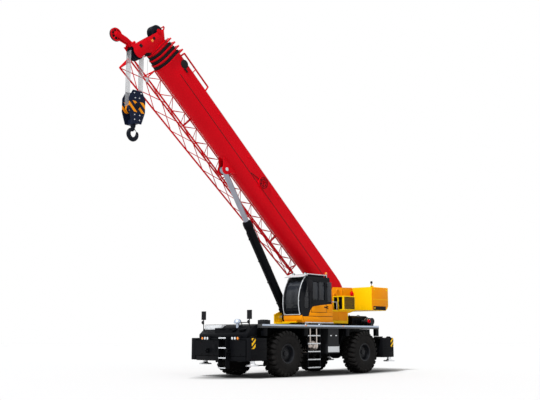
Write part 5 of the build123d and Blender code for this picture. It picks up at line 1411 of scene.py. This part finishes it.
for side in bothSides:
    for x in locker["latches"]:
        piece.bar((x - 0.05, x + 0.05), side * locker["latchY"], 0.006, locker["latchZ"], 0.004, 1)
    piece.bar(locker["panelX"], side * locker["panelY"], 0.005, (0.90, 1.13), 0.004, 1)
piece.done("carrier", "deck_grey", "paleGuard")
cover = {
    "lidX": (3.64, 4.42), "lidHalf": 1.41, "lidZ": (1.389, 1.485), "guardX": (4.06, 4.47), "guardHalf": 1.40,
    "guardZ": (0.62, 0.816), "boltY": (-1.05, -0.35, 0.80, 1.15), "boltZ": (0.86, 1.34),
    "plates": (-0.30, 0.0),
    "fairing": [(3.812, 1.975), (3.98, 1.94), (4.36, 1.62), (4.36, 1.484), (3.812, 1.484)],
    "fairingHalf": 1.36, "pockets": (-0.05, 0.45, 0.95), "hoopX": 4.05, "hoopY": (0.75, 1.15),
    "hoopZ": (1.86, 2.06), "bin": ((3.86, -1.28, 1.72), (4.14, -0.30, 1.975)),
    "binSeam": ((4.13, -1.25, 1.84), (4.146, -0.33, 1.855)),
    "valances": (1.32, 3.62, -1.32, -3.40), "valanceY": (1.44, 1.60), "valanceZ": (1.55, 1.862),
}
piece = Piece("boxCovers")  # lid and under-run guard that deepen the outrigger boxes
for end in bothSides:
    piece.bar([end * x for x in cover["lidX"]], 0, cover["lidHalf"], cover["lidZ"], 0.02)
    piece.bar([end * x for x in cover["guardX"]], 0, cover["guardHalf"], cover["guardZ"], 0.03)
    for y in cover["boltY"]:
        for z in cover["boltZ"]:
            piece.rod((end * 4.489, y, z), (end * 4.508, y, z), 0.018, 6)
for y in cover["plates"]:
    piece.bar((4.489, 4.505), y, 0.10, (0.95, 1.25), 0.006)
piece.done("carrier", "carrier_black")
piece = Piece("frontFairing")  # sloped cover between the deck and the front box
piece.plate(cover["fairing"], -cover["fairingHalf"], 2 * cover["fairingHalf"], 0.025)
for y in cover["pockets"]:
    piece.bar((4.10, 4.30), y, 0.17, (1.75, 1.83), 0.02)
(near, far), (low, high) = cover["hoopY"], cover["hoopZ"]
piece.path([(cover["hoopX"], y, z) for y, z in ((near, low), (near, high), (far, high), (far, low))], 0.016)
piece.done("carrier", "carrier_black")
piece = Piece("frontBin")
piece.box(*cover["bin"], 0.02)
piece.box(*cover["binSeam"], 0.003, 1)
piece.done("carrier", "bright_steel", "paleGuard")
piece = Piece("wheelValances")  # black side plates beside the wheels, under the deck edge
(near, far), (low, high) = cover["valanceY"], cover["valanceZ"]
for side in bothSides:
    for x in cover["valances"]:
        piece.box((x - 0.10, side * near, low), (x + 0.10, side * far, high), 0.012)
piece.done("carrier", "carrier_black")
print("carrier done")

# studio: pale floor that keeps the shadow, white backdrop, soft key from the front
studio = {
    "floorR": 120.0, "floorTone": 0.71, "floorLift": 0.05, "paintedShadowTone": 0.018, "paintedShadowAt": (-0.4, 0.2),
    "paintedShadowHalf": (6.4, 2.35), "paintedShadowEdge": (0.48, 1.0), "ambient": 0.44,
    "ambientTone": (0.97, 0.985, 1.0, 1.0),
    "lights": (("keyLight", 3.4, 9, (-0.62, -0.14, -0.77)), ("fillLight", 0.34, 40, (-0.10, -0.90, -0.38))),
}
seenBy = ("Is Camera Ray", "Is Glossy Ray", "Is Transmission Ray")
floorMesh = bpy.data.meshes.new("studioFloor")
disc = bmesh.new()
bmesh.ops.create_circle(disc, cap_ends=True, segments=64, radius=studio["floorR"])
disc.to_mesh(floorMesh)
disc.free()
floor = bpy.data.objects.new("studioFloor", floorMesh)
scene.collection.objects.link(floor)
finish = Finish("studioFloor", Roughness=0.9, Emission_Strength=1.0)
midX, midY = studio["paintedShadowAt"]  # painted soft contact shadow under the machine
halfX, halfY = studio["paintedShadowHalf"]
shareX = (finish.axis("X") - (crane["slewX"] + midX)) * (1 / halfX)
shareY = (finish.axis("Y") - midY) * (1 / halfY)
clearFloor = finish.ramp(shareX * shareX + shareY * shareY, *studio["paintedShadowEdge"])
finish.feed("Base Color", finish.mix(clearFloor, (studio["paintedShadowTone"],) * 3, (studio["floorTone"],) * 3))
seen = [finish.node("ShaderNodeLightPath", out=name) for name in seenBy]
finish.feed("Emission Color", (seen[0] + seen[1] + seen[2]) * clearFloor * studio["floorLift"])
floorMesh.materials.append(finish.material)

world = bpy.data.worlds.new("studioWorld")
scene.world = world
world.use_nodes = True
sky = Shading(world.node_tree)
seen = [sky.node("ShaderNodeLightPath", out=name) for name in seenBy]
tones = ((studio["ambientTone"], studio["ambient"]), ((1.0, 1.0, 1.0, 1.0), 1.0))
ambient, white = [sky.node("ShaderNodeBackground", {}, {0: tone, 1: strength}) for tone, strength in tones]
backdrop = sky.node("ShaderNodeMixShader", {},
                    {0: seen[0].most(seen[1].most(seen[2])), 1: ambient, 2: white})
sky.node("ShaderNodeOutputWorld", {}, {"Surface": backdrop})

for name, energy, spread, shine in studio["lights"]:
    sun = bpy.data.lights.new(name, "SUN")
    sun.energy = energy
    sun.angle = math.radians(spread)
    light = bpy.data.objects.new(name, sun)
    light.rotation_euler = Vector(shine).to_track_quat("-Z", "Y").to_euler()
    scene.collection.objects.link(light)

# camera at the photograph's place and angle
view = {"place": (25.0, 22.6, 1.52), "yaw": 45.83, "pitch": 9.89, "lens": 52.33, "sensor": 36.0,
        "far": 500.0}
camera = bpy.data.cameras.new("photoView")
camera.sensor_width = view["sensor"]
camera.lens = view["lens"]
camera.clip_end = view["far"]
eye = bpy.data.objects.new("photoView", camera)
eye.location = at(*view["place"])
yaw, pitch = math.radians(view["yaw"]), math.radians(view["pitch"])
aim = Vector((-math.sin(yaw) * math.cos(pitch), -math.cos(yaw) * math.cos(pitch), math.sin(pitch)))
eye.rotation_euler = aim.to_track_quat("-Z", "Y").to_euler()
scene.collection.objects.link(eye)
scene.camera = eye
scene.view_settings.view_transform = "Standard"
print("studio done")
